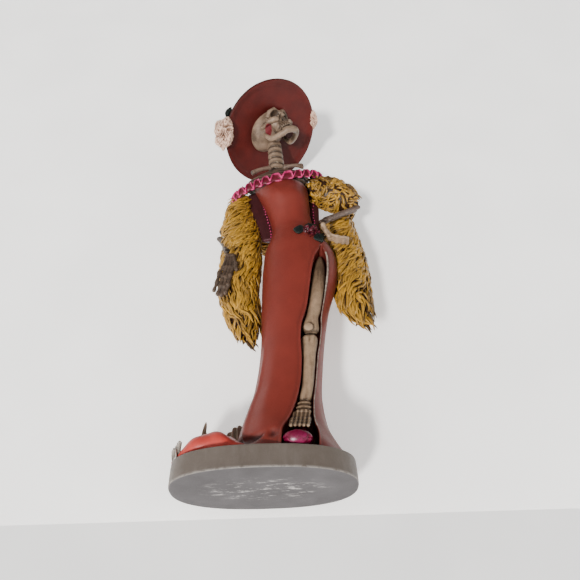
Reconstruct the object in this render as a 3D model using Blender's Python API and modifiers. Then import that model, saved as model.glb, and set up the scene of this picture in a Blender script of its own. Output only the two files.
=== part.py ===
"""Catrina: a skeleton lady in a mermaid gown and sun hat, with a feather boa, on an oval plinth.

Units are metres, +Z is up, and the lady faces -Y. The origin is the centre of the plinth's
underside. Each separate piece of the figure is one named object.
"""
import bpy
import bmesh
from math import atan2, cos, pi, radians, sin
from mathutils import Matrix, Vector

MM = 0.001
GAP = 0.3 * MM                      # clearance between pieces that are glued together

# plinth
BASE_LENGTH = 102 * MM
BASE_DEPTH = 61.2 * MM
BASE_HEIGHT = 13 * MM
BASE_TAPER = 1.2 * MM               # how far the rim draws in towards the top
BASE_EDGE = 0.8 * MM
BASE_SQUARE = 2.4                   # 2 is an ellipse; more is boxier

# steel rod that carries the body, threaded from the plinth up into the skull
ROD_RADIUS = 1.5 * MM
BORE_RADIUS = 1.9 * MM
ROD_FOOT = Vector((17, 7, 4)) * MM
ROD_BEND = Vector((10.8, 2.6, 254)) * MM
ROD_TOP = Vector((8.4, -2.6, 291)) * MM

# gown: height, centre x, centre y, half width, half depth
GOWN_RINGS = [
    (13.3, 14.6, -0.5, 31.2, 27.5),
    (17, 14.0, -0.5, 30.4, 26.5),
    (24, 12.6, -0.5, 28.0, 24.5),
    (34, 11.8, 0.0, 24.8, 22.0),
    (46, 12.6, 0.0, 21.9, 19.8),
    (60, 14.6, 0.0, 19.8, 18.6),
    (88, 17.9, 0.0, 19.8, 18.6),
    (116, 20.5, 0.0, 22.0, 19.4),
    (140, 24.0, 1.0, 25.2, 20.9),
    (156, 25.2, 1.5, 25.6, 20.9),
    (168, 24.8, 1.5, 24.0, 19.6),
    (180, 23.4, 1.0, 19.0, 16.2),
    (190, 21.4, 0.6, 15.4, 13.8),
    (202, 19.4, -0.6, 15.2, 14.8),
    (214, 17.4, -1.4, 16.8, 16.8),
    (226, 15.0, -0.6, 19.0, 16.0),
    (233, 13.4, 0.4, 19.8, 14.4),
]

# bony chest and shoulders above the bodice, in the same columns, and then the slope across
CHEST_RINGS = [
    (233.4, 13.0, 0.8, 19.0, 13.4, 0.0),
    (239.5, 11.4, 1.2, 22.8, 13.0, 0.10),
    (244.5, 10.0, 1.6, 24.6, 11.4, 0.20),
    (248.5, 10.0, 1.8, 20.0, 9.8, 0.20),
    (252.5, 10.8, 2.2, 9.6, 7.6, 0.06),
    (255.6, 10.8, 2.4, 6.4, 6.0, 0.0),
]

# side slit: height, centre x, half width
SLIT_RINGS = [
    (10, 19.8, 9.8),
    (24, 20.4, 9.4),
    (31, 21.2, 7.0),
    (37, 22.3, 5.6),
    (46, 23.9, 4.4),
    (57, 25.8, 4.1),
    (70, 27.1, 4.35),
    (78, 27.6, 4.8),
    (86, 28.3, 5.6),
    (97, 29.6, 5.8),
    (104, 30.8, 4.9),
    (112, 32.5, 4.6),
    (126, 34.9, 4.9),
    (140, 37.0, 4.9),
    (151, 38.4, 3.9),
    (157, 39.1, 2.2),
    (161, 39.3, 0.7),
]
SLIT_BACK_Y = -3.0 * MM

# leg bones, from the knee up and from the knee down: x, y, z, half width, half depth
FEMUR = [
    (29.4, -11.2, 92.8, 3.6, 2.6), (29.4, -11.4, 94.4, 4.9, 3.9), (29.5, -11.4, 97.5, 5.2, 4.2),
    (30.8, -11.4, 104.3, 3.9, 3.5), (32.4, -11.5, 111.2, 4.1, 3.3), (34.9, -11.4, 126, 4.4, 3.3),
    (36.0, -11.0, 133.5, 4.5, 3.3), (36.9, -10.5, 141.2, 4.2, 3.1), (38.0, -9.9, 150.0, 3.0, 2.4),
    (38.6, -9.4, 156.2, 1.0, 0.9),
]
TIBIA = [
    (28.4, -11.4, 90.6, 3.6, 2.6), (28.4, -11.5, 88.6, 4.9, 3.9), (28.1, -11.6, 85.4, 5.0, 4.0),
    (27.5, -11.8, 78.0, 4.2, 3.5), (27.1, -11.9, 70.0, 3.8, 3.3), (25.7, -12.1, 56.2, 3.5, 3.1),
    (24.2, -12.4, 47.5, 3.5, 3.1), (23.9, -12.4, 45.4, 2.6, 2.4),
]
KNEECAP = Vector((27.9, -16.9, 93.6)) * MM

# neck and head
NECK_COUNT = 5
NECK_START = 3.1 * MM               # first joint, along the rod from its bend
NECK_PITCH = 6.0 * MM
NECK_RADIUS = 6.4 * MM
HEAD_CENTRE = Vector((5.6, -8.5, 299.6)) * MM
HEAD_SCALE = 1.06
HEAD_TURN = 32                      # degrees, towards the lady's left
HEAD_NOD = 10                       # degrees, chin down
HEAD_LEAN = 33                      # degrees, crown towards her right shoulder

# hat
HAT_CENTRE = Vector((6.8, -8.6, 295.5)) * MM
HAT_TILT = 15                       # degrees, brim thrown back
HAT_ROLL = -34                      # degrees, lady's left side up
BRIM_RADIUS = 42.0 * MM
CROWN_RADIUS = 23.5 * MM
CROWN_HEIGHT = 25 * MM
HAT_WALL = 2.0 * MM

# arms: shoulder, elbow, wrist
ARMS = {
    "left": ((34.0, 2.0, 240.5), (73.0, 7.0, 221.0), (41.8, -17.5, 182.5)),
    "right": ((-11.0, 4.0, 232.0), (-33.5, 21.0, 206.0), (-23.0, -6.0, 166.0)),
}


# feather boa: rows of x, y, z, half width, half thickness; sides; width's direction; smoothing
BOA = {
    "boa_drape_right": ([
        (-14, 8, 232, 5, 6), (-17, 8, 224, 9.5, 9.5), (-18.5, 8, 208, 12, 11),
        (-16, 6, 192, 13, 12), (-16, 5.5, 176, 14, 12.5), (-17, 5.5, 158, 14.5, 12.5),
        (-17.5, 5, 140, 13.5, 11.5), (-14.5, 4, 122, 12, 10), (-11, 3.5, 108, 8, 7.5),
        (-10, 3, 99, 3, 3.5)], 18, (1, 0, 0), 1),
    "boa_drape_left": ([
        (59, 12, 212, 6, 6), (58.5, 11, 204, 9, 9), (58.5, 10, 190, 11, 10.5),
        (59.5, 9.5, 174, 12.5, 11), (60.5, 8.5, 156, 13, 11), (60.5, 7, 140, 13, 10.5),
        (61.5, 5, 127, 11, 8.5), (65, 4, 117, 7, 6), (68, 4, 110, 2.5, 3)], 18, (1, 0, 0), 1),
    "boa_sleeve_left": ([
        (35, 0, 232, 7, 6), (42, 0, 232, 11, 11), (52, 1, 229, 12.5, 13),
        (62, 3.5, 225, 11.5, 11.5), (69, 6, 223, 6.5, 7)], 16, (0, 1, 0), 2),
    "boa_back": ([
        (-25, 17, 224, 7, 6), (-18, 25, 219, 9, 8), (-6, 30, 211, 9.5, 8.5), (10, 31, 206, 10, 9),
        (27, 31, 206, 10, 9), (42, 29.5, 211, 9.5, 8.5), (54, 24, 217, 9, 8),
        (62, 15, 220, 7, 6)], 16, (0, 0, 1), 2),
}


def v(x, y, z):
    return Vector((x, y, z)) * MM


def clear_scene():
    for old in list(bpy.data.objects):
        bpy.data.objects.remove(old, do_unlink=True)


def collection(name):
    made = bpy.data.collections.new(name)
    bpy.context.scene.collection.children.link(made)
    return made


def material(name, colour, roughness, metallic=0.0):
    made = bpy.data.materials.new(name)
    made.use_nodes = True
    shader = made.node_tree.nodes["Principled BSDF"]
    shader.inputs["Base Color"].default_value = (*colour, 1.0)
    shader.inputs["Roughness"].default_value = roughness
    shader.inputs["Metallic"].default_value = metallic
    made.diffuse_color = (*colour, 1.0)
    return made


def add_object(name, data, mat, group):
    if mat is not None:
        data.materials.append(mat)
    made = bpy.data.objects.new(name, data)
    group.objects.link(made)
    return made


def mesh_from(name, bm):
    bmesh.ops.recalc_face_normals(bm, faces=bm.faces)
    mesh = bpy.data.meshes.new(name)
    bm.to_mesh(mesh)
    bm.free()
    mesh.shade_smooth()
    mesh.set_sharp_from_angle(angle=radians(40))
    return mesh


def catmull(values, t):
    """Smooth value through evenly numbered control values; t runs from 0 to len - 1."""
    i = min(int(t), len(values) - 2)
    f = t - i
    p = [values[max(0, min(len(values) - 1, i + k))] for k in (-1, 0, 1, 2)]
    return 0.5 * (2 * p[1] + (p[2] - p[0]) * f
                  + (2 * p[0] - 5 * p[1] + 4 * p[2] - p[3]) * f * f
                  + (3 * p[1] - p[0] - 3 * p[2] + p[3]) * f ** 3)


def smooth_rows(rows, steps):
    """Resamples rows of numbers, steps to each gap, through a smooth curve."""
    columns = list(zip(*rows))
    count = (len(rows) - 1) * steps
    return [[catmull(column, k / steps) for column in columns] for k in range(count + 1)]


def loft_mesh(name, rings):
    """Closed skin through rings of points; both ends are capped."""
    bm = bmesh.new()
    loops = [[bm.verts.new(p) for p in ring] for ring in rings]
    count = len(rings[0])
    for low, high in zip(loops, loops[1:]):
        for k in range(count):
            n = (k + 1) % count
            bm.faces.new((low[k], low[n], high[n], high[k]))
    bm.faces.new(list(reversed(loops[0])))
    bm.faces.new(loops[-1])
    return mesh_from(name, bm)


def level_rings(rows, sides, grow=0.0, steps=2):
    """Oval rings from rows of height, centre x, centre y, half width, half depth (mm).

    A sixth column is the ring's slope along x; without it the ring is level.
    """
    rings = []
    for z, cx, cy, hx, hy, *slope in smooth_rows(rows, steps):
        rise = slope[0] if slope else 0.0
        ring = []
        for k in range(sides):
            a = 2 * pi * k / sides
            x = (hx * MM + grow) * cos(a)
            y = cy * MM + (hy * MM + grow) * sin(a)
            ring.append(Vector((cx * MM + x, y, z * MM + rise * x)))
        rings.append(ring)
    return rings


def swept_rings(rows, sides, side, grow=0.0, steps=2):
    """Oval rings square to a path, from rows of x, y, z, half width, half thickness (mm).

    side is roughly the direction in which the half width is measured.
    """
    stations = smooth_rows(rows, steps)
    centres = [Vector(s[:3]) * MM for s in stations]
    rings = []
    for i, station in enumerate(stations):
        ahead = centres[min(i + 1, len(centres) - 1)] - centres[max(i - 1, 0)]
        ahead.normalize()
        across = (side - ahead * side.dot(ahead)).normalized()
        up = ahead.cross(across)
        a_half = station[3] * MM + grow
        b_half = station[4] * MM + grow
        ring = []
        for k in range(sides):
            a = 2 * pi * k / sides
            ring.append(centres[i] + across * a_half * cos(a) + up * b_half * sin(a))
        rings.append(ring)
    return rings


def tube(name, points, radii, mat, group, sides=4):
    """Rod along points, with its own radius at each, closed at both ends."""
    curve = bpy.data.curves.new(name, "CURVE")
    curve.dimensions = "3D"
    curve.bevel_depth = 1.0
    curve.bevel_resolution = sides - 2
    curve.use_fill_caps = True
    spline = curve.splines.new("POLY")
    spline.points.add(len(points) - 1)
    for point, place, radius in zip(spline.points, points, radii):
        point.co = (*place, 1.0)
        point.radius = radius
    return add_object(name, curve, mat, group)


def as_mesh(made):
    """Turns a curve object into a closed mesh object, so that it can be cut or fused."""
    graph = bpy.context.evaluated_depsgraph_get()
    mesh = bpy.data.meshes.new_from_object(made.evaluated_get(graph))
    bm = bmesh.new()
    bm.from_mesh(mesh)
    bmesh.ops.remove_doubles(bm, verts=bm.verts, dist=0.00002)
    bmesh.ops.recalc_face_normals(bm, faces=bm.faces)
    bm.to_mesh(mesh)
    bm.free()
    mesh.shade_smooth()
    mesh.set_sharp_from_angle(angle=radians(40))
    solid = bpy.data.objects.new(made.name, mesh)
    solid.matrix_world = made.matrix_world
    group = made.users_collection[0]
    name = made.name
    bpy.data.objects.remove(made, do_unlink=True)
    group.objects.link(solid)
    solid.name = name
    return solid


def hide_as_cutter(made):
    made.hide_render = True
    made.display_type = "WIRE"
    return made


def boolean(target, other, operation):
    """Keeps a live Boolean on the target; the other object becomes a cutter."""
    for group in list(other.users_collection):
        group.objects.unlink(other)
    CUTTERS.objects.link(other)
    hide_as_cutter(other)
    cut = target.modifiers.new(operation.title() + " " + other.name, "BOOLEAN")
    cut.operation = operation
    cut.object = other
    cut.solver = "EXACT"


def ball_mesh(name, radii, segments=20, rings=12, place=Matrix()):
    bm = bmesh.new()
    bmesh.ops.create_uvsphere(bm, u_segments=segments, v_segments=rings, radius=1.0)
    bmesh.ops.transform(bm, matrix=place @ Matrix.Diagonal((*radii, 1.0)), verts=bm.verts)
    return mesh_from(name, bm)


def ball(name, centre, radii, mat, group, turn=Matrix(), segments=20, rings=12):
    place = Matrix.Translation(centre) @ turn
    return add_object(name, ball_mesh(name, radii, segments, rings, place), mat, group)


def block(name, centre, size, group):
    bm = bmesh.new()
    bmesh.ops.create_cube(bm, size=1.0)
    place = Matrix.Translation(centre) @ Matrix.Diagonal((*size, 1.0))
    bmesh.ops.transform(bm, matrix=place, verts=bm.verts)
    return add_object(name, mesh_from(name, bm), None, group)


def turned(name, profile, mat, group, place, segments=36):
    """Turned solid: profile of (radius, height) points, from the top down its outer side."""
    bm = bmesh.new()
    points = [bm.verts.new((r, 0.0, z)) for r, z in profile]
    for a, b in zip(points, points[1:]):
        bm.edges.new((a, b))
    mesh = bpy.data.meshes.new(name)
    bm.to_mesh(mesh)
    bm.free()
    made = add_object(name, mesh, mat, group)
    made.matrix_world = place
    screw = made.modifiers.new("Turn", "SCREW")
    screw.steps = segments
    screw.render_steps = segments
    screw.use_merge_vertices = True
    screw.merge_threshold = 0.00002
    return made


def cutter_tube(name, a, b, radius, sides=10):
    """Straight round cutter from a to b."""
    bm = bmesh.new()
    along = b - a
    bmesh.ops.create_cone(bm, cap_ends=True, segments=sides, radius1=radius, radius2=radius,
                          depth=along.length)
    turn = along.to_track_quat("Z", "Y").to_matrix().to_4x4()
    bmesh.ops.transform(bm, matrix=Matrix.Translation((a + b) / 2) @ turn, verts=bm.verts)
    return add_object(name, mesh_from(name, bm), None, CUTTERS)


def bone(name, a, b, shaft, knob, mat, bow=Vector((0, 0, 0)), sides=5):
    """Long bone from a to b: a slim shaft that swells into a knob at each end."""
    swell = [(0.0, 0.45), (0.02, 0.85), (0.07, 1.0), (0.14, 0.78), (0.24, 0.25), (0.5, 0.0),
             (0.76, 0.2), (0.86, 0.7), (0.93, 0.95), (0.98, 0.8), (1.0, 0.4)]
    points = [a.lerp(b, t) + bow * sin(pi * t) for t, _ in swell]
    radii = [shaft + (knob - shaft) * s for _, s in swell]
    return tube(name, points, radii, mat, PARTS, sides)


def gown_cutter(name, grow=GAP):
    rings = level_rings(GOWN_RINGS, 32, grow, 1)
    return add_object(name, loft_mesh(name, rings), None, CUTTERS)


def chest_cutter(name):
    rings = level_rings(CHEST_RINGS, 24, GAP, 1)
    return add_object(name, loft_mesh(name, rings), None, CUTTERS)


def surface_y(x, z, side=-1, grow=0.0):
    """The gown's front (side -1) or back (side 1) surface above a point x, at height z."""
    rows = smooth_rows(GOWN_RINGS, 8)
    row = min(rows, key=lambda r: abs(r[0] * MM - z))
    across = (x - row[1] * MM) / (row[3] * MM + grow)
    across = max(-0.98, min(0.98, across))
    return row[2] * MM + side * (row[4] * MM + grow) * (1 - across * across) ** 0.5


def rim_point(a, inset):
    """Point of the plinth's outline, a slightly squared oval, drawn in by inset."""
    power = 2 / BASE_SQUARE
    x = abs(cos(a)) ** power * (BASE_LENGTH / 2 - inset)
    y = abs(sin(a)) ** power * (BASE_DEPTH / 2 - inset)
    return Vector((x if cos(a) > 0 else -x, y if sin(a) > 0 else -y, 0))


def make_plinth():
    bm = bmesh.new()
    bmesh.ops.create_cone(bm, cap_ends=True, segments=64, radius1=0.5, radius2=0.5, depth=1.0)
    for vert in bm.verts:
        high = vert.co.z > 0
        rim = rim_point(atan2(vert.co.y, vert.co.x), BASE_TAPER if high else 0.0)
        vert.co = rim + Vector((0, 0, BASE_HEIGHT if high else 0.0))
    plinth = add_object("base_plinth", mesh_from("base_plinth", bm), GREY, PARTS)
    edge = plinth.modifiers.new("Worn edge", "BEVEL")
    edge.width = BASE_EDGE
    edge.segments = 2
    edge.limit_method = "ANGLE"
    foot = ROD_FOOT - GAP * (ROD_BEND - ROD_FOOT).normalized()
    hole = cutter_tube("cut_rod_socket", foot, rod_point(30 * MM), BORE_RADIUS, 16)
    boolean(plinth, hole, "DIFFERENCE")


def rod_point(z):
    """Point of the rod's centre line at height z."""
    low, high = (ROD_FOOT, ROD_BEND) if z < ROD_BEND.z else (ROD_BEND, ROD_TOP)
    return low.lerp(high, (z - low.z) / (high.z - low.z))


def rod_bore(name, low, high):
    return cutter_tube(name, rod_point(low), rod_point(high), BORE_RADIUS, 16)


def make_rod():
    """Rod with one bend, where the neck leans forward."""
    places = [ROD_FOOT]
    for t in (0.0, 0.25, 0.5, 0.75, 1.0):
        before = ROD_BEND.lerp(ROD_FOOT, 0.02)
        after = ROD_BEND.lerp(ROD_TOP, 0.12)
        places.append(before.lerp(ROD_BEND, t).lerp(ROD_BEND.lerp(after, t), t))
    places.append(ROD_TOP)
    tube("armature_rod", places, [ROD_RADIUS] * len(places), STEEL, PARTS)


def make_gown():
    gown = add_object("gown", loft_mesh("gown", level_rings(GOWN_RINGS, 32, 0, 1)), RED, PARTS)
    rings = []
    for z, cx, half in smooth_rows(SLIT_RINGS, 2):
        rings.append([v(cx - half, -40, z), v(cx + half, -40, z),
                      Vector(((cx + half) * MM, SLIT_BACK_Y, z * MM)),
                      Vector(((cx - half) * MM, SLIT_BACK_Y, z * MM))])
    boolean(gown, add_object("cut_slit", loft_mesh("cut_slit", rings), None, CUTTERS), "DIFFERENCE")
    boolean(gown, rod_bore("cut_gown_bore", 5 * MM, 250 * MM), "DIFFERENCE")


def make_slit_trim():
    """Raised cord along the slit's outer edge."""
    points = []
    for z, cx, half in smooth_rows(SLIT_RINGS[2:16], 2):
        x = (cx + half) * MM + 0.9 * MM
        points.append(Vector((x, surface_y(x, z * MM, grow=0.95 * MM + GAP), z * MM)))
    tube("slit_trim", points, [0.7 * MM] * len(points), BEIGE, PARTS)


def make_train():
    rows = [(-6, 2, 20, 8, 9), (-14, -2, 19, 12, 9), (-22, -5, 20, 14, 10), (-30, -5, 19.5, 14, 8.5),
            (-38, -3, 17.5, 12, 6.5), (-44, -1, 16, 9, 5), (-48.6, -0.5, 15.2, 5.5, 2.8)]
    across = Vector((0, 1, 0))
    train = add_object("train", loft_mesh("train", swept_rings(rows, 18, across)), RED, PARTS)
    boolean(train, gown_cutter("cut_train_by_gown"), "DIFFERENCE")
    boolean(train, as_mesh(lace("cut_train_by_lace", GAP, CUTTERS)), "DIFFERENCE")
    floor = block("cut_train_floor", v(-20, 0, BASE_HEIGHT / MM + 0.3 - 15), v(90, 90, 30), CUTTERS)
    boolean(train, floor, "DIFFERENCE")


def lace(name, grow, group):
    """Frill along the plinth's edge, round the end of the train."""
    points = []
    radii = []
    for k in range(29):
        a = radians(148 + 84 * k / 28)
        wave = 0.5 * MM * sin(k * 2.3)
        points.append(rim_point(a, 1.8 * MM - wave) + Vector((0, 0, BASE_HEIGHT + 2.3 * MM)))
        radii.append((1.5 + 0.3 * sin(k * 1.7)) * MM + grow)
    return tube(name, points, radii, LACE, group, 3)


def make_petticoat():
    """Pale ruffle that stands up behind the train, between it and the gown."""
    rows = [(-13, 17, 24, 4, 8), (-19, 15.6, 28, 4.5, 11), (-26, 14.6, 28, 4.5, 12),
            (-33, 13, 24, 4, 9), (-39, 11.5, 20, 3, 5.5)]
    side = Vector((0, 1, 0))
    skirt = add_object("petticoat_ruffle", loft_mesh("petticoat_ruffle",
                       swept_rings(rows, 20, side)), BEIGE, PARTS)
    boolean(skirt, gown_cutter("cut_petticoat_by_gown"), "DIFFERENCE")
    floor = block("cut_petticoat_floor", v(-20, 0, BASE_HEIGHT / MM + 0.3 - 15), v(90, 90, 30), CUTTERS)
    boolean(skirt, floor, "DIFFERENCE")


def collar_mesh(name, grow=0.0):
    """Wavy ring that dips at the throat and rises over the lady's left shoulder."""
    count = 48
    rings = []
    for k in range(count):
        a = 2 * pi * k / count
        lobe = sin(a * 12)
        centre = v(10.8 + (32.4 + 0.8 * lobe) * cos(a), 0.8 + (17.2 + 0.8 * lobe) * sin(a),
                   236.5 + 11.0 * cos(a) + 6.5 * sin(a) + 0.9 * cos(a * 12))
        out = Vector((cos(a), sin(a) * 1.2, 0)).normalized()
        ring = []
        for j in range(8):
            b = 2 * pi * j / 8
            ring.append(centre + out * (2.9 * MM + grow) * cos(b)
                        + Vector((0, 0, 4.4 * MM + grow)) * sin(b))
        rings.append(ring)
    bm = bmesh.new()
    loops = [[bm.verts.new(p) for p in ring] for ring in rings]
    for i in range(count):
        here, ahead = loops[i], loops[(i + 1) % count]
        for j in range(8):
            n = (j + 1) % 8
            bm.faces.new((here[j], ahead[j], ahead[n], here[n]))
    return mesh_from(name, bm)


def collar_cutter(name):
    return add_object(name, collar_mesh(name, GAP), None, CUTTERS)


def make_collar():
    """Curly ruffle that runs round the top of the bodice and over both arms."""
    collar = add_object("collar_ruffle", collar_mesh("collar_ruffle"), PINK, PARTS)
    boolean(collar, gown_cutter("cut_collar_by_gown"), "DIFFERENCE")
    boolean(collar, chest_cutter("cut_collar_by_chest"), "DIFFERENCE")
    boolean(collar, arm_cutter("right"), "DIFFERENCE")


def make_shoulders():
    """Chest block above the bodice, with a collar bone each side and the rod's bore."""
    chest = add_object("upper_chest", loft_mesh("upper_chest", level_rings(CHEST_RINGS, 24, 0, 1)),
                       BONE, PARTS)
    boolean(chest, rod_bore("cut_chest_bore", 230 * MM, 254.5 * MM), "DIFFERENCE")
    boolean(chest, rod_bore("cut_chest_bore_neck", 254.1 * MM, 270 * MM), "DIFFERENCE")
    for side in ARMS:
        boolean(chest, arm_cutter(side), "DIFFERENCE")
    for name, shift, rise in (("left", 1, 1.0), ("right", -1, -1.0)):
        inner = v(10.6 + 4.2 * shift, -8.6, 250.6)
        outer = v(11.0 + 20.4 * shift, -8.4, 248.4 + 3.4 * rise)
        rod = as_mesh(bone("collar_bone_" + name, inner, outer, 1.5 * MM, 2.0 * MM, BONE,
                           Vector((0, -1.6 * MM, 0))))
        boolean(rod, chest_cutter("cut_collar_bone_" + name), "DIFFERENCE")


def make_neck():
    """Vertebrae threaded on the rod like beads."""
    along = (ROD_TOP - ROD_BEND).normalized()
    turn = along.to_track_quat("Z", "Y").to_matrix().to_4x4()
    half = NECK_PITCH / 2 - GAP / 2
    for k in range(NECK_COUNT):
        centre = ROD_BEND + along * (NECK_START + NECK_PITCH * (k + 0.5))
        wide = NECK_RADIUS * (1.0 - 0.03 * k)
        bore = BORE_RADIUS + 0.1 * MM
        profile = [(bore, half), (wide * 0.8, half), (wide, half * 0.55), (wide * 0.93, 0.0),
                   (wide, -half * 0.55), (wide * 0.8, -half), (bore, -half), (bore, half)]
        turned("neck_vertebra_%d" % (k + 1), profile, BONE, PARTS,
               Matrix.Translation(centre) @ turn, 20)


def head_place():
    lean = Matrix.Rotation(radians(-HEAD_LEAN), 4, "Y")
    turn = Matrix.Rotation(radians(HEAD_TURN), 4, "Z")
    nod = Matrix.Rotation(radians(HEAD_NOD), 4, "X")
    return Matrix.Translation(HEAD_CENTRE) @ lean @ turn @ nod @ Matrix.Scale(HEAD_SCALE, 4)


def head_ball(name, centre, radii, group=None, mat=None, segments=20, rings=12):
    place = head_place() @ Matrix.Translation(centre)
    mesh = ball_mesh(name, radii, segments, rings, place)
    return add_object(name, mesh, mat, group or CUTTERS)


def make_skull():
    skull = head_ball("skull", v(0, 3.5, 4), v(14.2, 17.0, 14.5), PARTS, BONE, 22, 14)
    boolean(skull, head_ball("add_face", v(0, -9.2, -4.6), v(9.6, 6.4, 10.6), None, None, 16, 10), "UNION")
    boolean(skull, head_ball("add_cheeks", v(0, -7.4, -4.6), v(12.4, 6.6, 3.2), None, None, 16, 8), "UNION")
    boolean(skull, head_ball("add_upper_jaw", v(0, -9.6, -11.2), v(6.8, 6.6, 3.6), None, None, 14, 8), "UNION")
    for side in (-1, 1):
        boolean(skull, head_ball("cut_eye", v(4.7 * side, -14.4, -1.6), v(3.6, 5.6, 3.6), None, None, 12, 8),
                "DIFFERENCE")
    boolean(skull, head_ball("cut_nose", v(0, -16.0, -7.2), v(1.7, 3.4, 2.6), None, None, 8, 6), "DIFFERENCE")
    boolean(skull, rod_bore("cut_skull_bore", 264 * MM, 291.4 * MM), "DIFFERENCE")


def make_jaw():
    place = head_place()
    half = [(10.9, 0.4, -7.2), (10.6, -0.2, -11), (9.8, -2.0, -15.4), (8.2, -7.6, -18.2),
            (5.4, -13.4, -19.2), (2.2, -15.9, -19.4)]
    right = [v(*p) for p in half]
    left = [v(-x, y, z) for x, y, z in reversed(half)]
    wide = [1.3, 1.9, 2.3, 2.2, 2.4, 2.7]
    points = [place @ p for p in right + left]
    radii = [r * MM for r in wide + wide[::-1]]
    jaw = as_mesh(tube("jaw", points, radii, BONE, PARTS, 4))
    for name, centre, size in (("cranium", v(0, 3.5, 4), v(14.5, 17.3, 14.8)),
                               ("face", v(0, -9.2, -4.6), v(9.9, 6.7, 10.9)),
                               ("cheek", v(0, -7.4, -4.6), v(12.7, 6.9, 3.5)),
                               ("upper", v(0, -9.6, -11.2), v(7.1, 6.9, 3.9))):
        boolean(jaw, head_ball("cut_jaw_" + name, centre, size, None, None, 20, 12), "DIFFERENCE")


def hat_place():
    tilt = Matrix.Rotation(radians(-HAT_TILT), 4, "X")
    roll = Matrix.Rotation(radians(HAT_ROLL), 4, "Y")
    return Matrix.Translation(HAT_CENTRE) @ roll @ tilt


def hat_profile(grow=0.0):
    """Crown and brim, from the top of the crown round the rim and back up the inside."""
    g = grow
    wall = HAT_WALL
    r_c = CROWN_RADIUS
    outer = [(0.0, CROWN_HEIGHT + g), (r_c * 0.55, CROWN_HEIGHT - 1.0 * MM + g),
             (r_c * 0.86, CROWN_HEIGHT - 5 * MM + g), (r_c + g, CROWN_HEIGHT - 12 * MM),
             (r_c + 0.6 * MM + g, 3.4 * MM), (r_c + 3.5 * MM, 1.6 * MM + g),
             (BRIM_RADIUS * 0.8, 0.0 + g), (BRIM_RADIUS * 0.96, 0.4 * MM + g),
             (BRIM_RADIUS + g, 0.9 * MM)]
    inner = [(BRIM_RADIUS * 0.97, -0.9 * MM - g), (BRIM_RADIUS * 0.8, -wall - g),
             (r_c + 1.5 * MM, -0.8 * MM - g), (r_c - wall - g, 1.8 * MM - g),
             (r_c - wall - g, CROWN_HEIGHT - 12.5 * MM),
             (r_c * 0.86 - wall, CROWN_HEIGHT - 6.4 * MM), (r_c * 0.5, CROWN_HEIGHT - 3 * MM - g),
             (0.0, CROWN_HEIGHT - wall - g)]
    return outer + inner


def make_hat():
    hat = turned("hat", hat_profile(), RED, PARTS, hat_place(), 40)
    boolean(hat, head_ball("cut_hat_by_skull", v(0, 3.5, 4), v(14.6, 17.4, 14.9)), "DIFFERENCE")
    band = [(CROWN_RADIUS + 1.9 * MM, 8.6 * MM), (CROWN_RADIUS + 2.1 * MM, 4.6 * MM),
            (CROWN_RADIUS + 1.0 * MM, 4.4 * MM), (CROWN_RADIUS + 0.9 * MM, 8.8 * MM),
            (CROWN_RADIUS + 1.9 * MM, 8.6 * MM)]
    turned("hat_band", band, BAND, PARTS, hat_place(), 40)


def hat_cutter(name):
    cutter = turned(name, hat_profile(2 * GAP), None, CUTTERS, hat_place(), 40)
    return hide_as_cutter(cutter)


def make_hat_flowers():
    place = hat_place()
    spots = (("hat_flower_right", v(-41.6, -14.6, 0.4), v(6.2, 10.2, 6.4), 19),
             ("hat_flower_left", v(42.0, 6.0, 1.2), v(3.6, 6.4, 3.6), 8))
    for name, centre, radii, turn in spots:
        spot = place @ Matrix.Translation(centre) @ Matrix.Rotation(radians(turn), 4, "Z")
        mesh = ball_mesh(name, radii, 20, 12, spot)
        flower = add_object(name, mesh, WHITE, PARTS)
        boolean(flower, hat_cutter("cut_" + name), "DIFFERENCE")
    leaves = (("hat_leaf_1", v(-35.5, -25.6, 2.0), v(-29, -33, 2.6), 2.8),
              ("hat_leaf_2", v(-38.4, -3.0, 2.0), v(-37, 9, 2.6), 2.8),
              ("hat_leaf_3", v(38.6, 13.6, 2.0), v(32, 24, 2.6), 2.4))
    for name, root, tip, wide in leaves:
        leaf(name, place @ root, place @ tip, wide, place.to_3x3() @ Vector((0, 0, 1)), DARK)


def leaf(name, root, tip, half_width, normal, mat, thick=0.55):
    """Pointed leaf from root to tip, thin along normal."""
    along = tip - root
    across = along.cross(normal).normalized()
    shape = [(0.0, 0.12), (0.12, 0.55), (0.35, 1.0), (0.6, 0.85), (0.85, 0.4), (1.0, 0.08)]
    rows = []
    for t, w in shape:
        p = (root + along * t + normal * sin(pi * t) * along.length * 0.06) / MM
        rows.append((p.x, p.y, p.z, half_width * w, thick * (0.35 + 0.65 * w)))
    rings = swept_rings(rows, 10, across, 0.0, 1)
    return add_object(name, loft_mesh(name, rings), mat, PARTS)


def make_arms():
    for side, (shoulder, elbow, wrist) in ARMS.items():
        a, b, c = v(*shoulder), v(*elbow), v(*wrist)
        upper = (b - a).normalized()
        lower = (c - b).normalized()
        apart = lower.cross(Vector((0, 0, 1))).normalized() * 2.1 * MM
        bone("humerus_" + side, a, b - upper * 1.0 * MM, 2.0 * MM, 3.5 * MM, BONE)
        start = b + lower * 3.9 * MM
        bone("ulna_" + side, start + apart, c + apart * 0.9, 1.6 * MM, 1.9 * MM, BONE)
        bone("radius_" + side, start - apart, c - apart * 0.9, 1.6 * MM, 1.8 * MM, BONE)


def finger(points, radius):
    """Finger along joints, with a knuckle at each."""
    places = []
    radii = []
    for a, b in zip(points, points[1:]):
        places += [a, a.lerp(b, 0.3), a.lerp(b, 0.7)]
        radii += [radius * 1.15, radius * 0.8, radius * 0.85]
    places.append(points[-1])
    radii.append(radius * 0.7)
    return as_mesh(tube("finger", places, radii, None, CUTTERS, 3))


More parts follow.
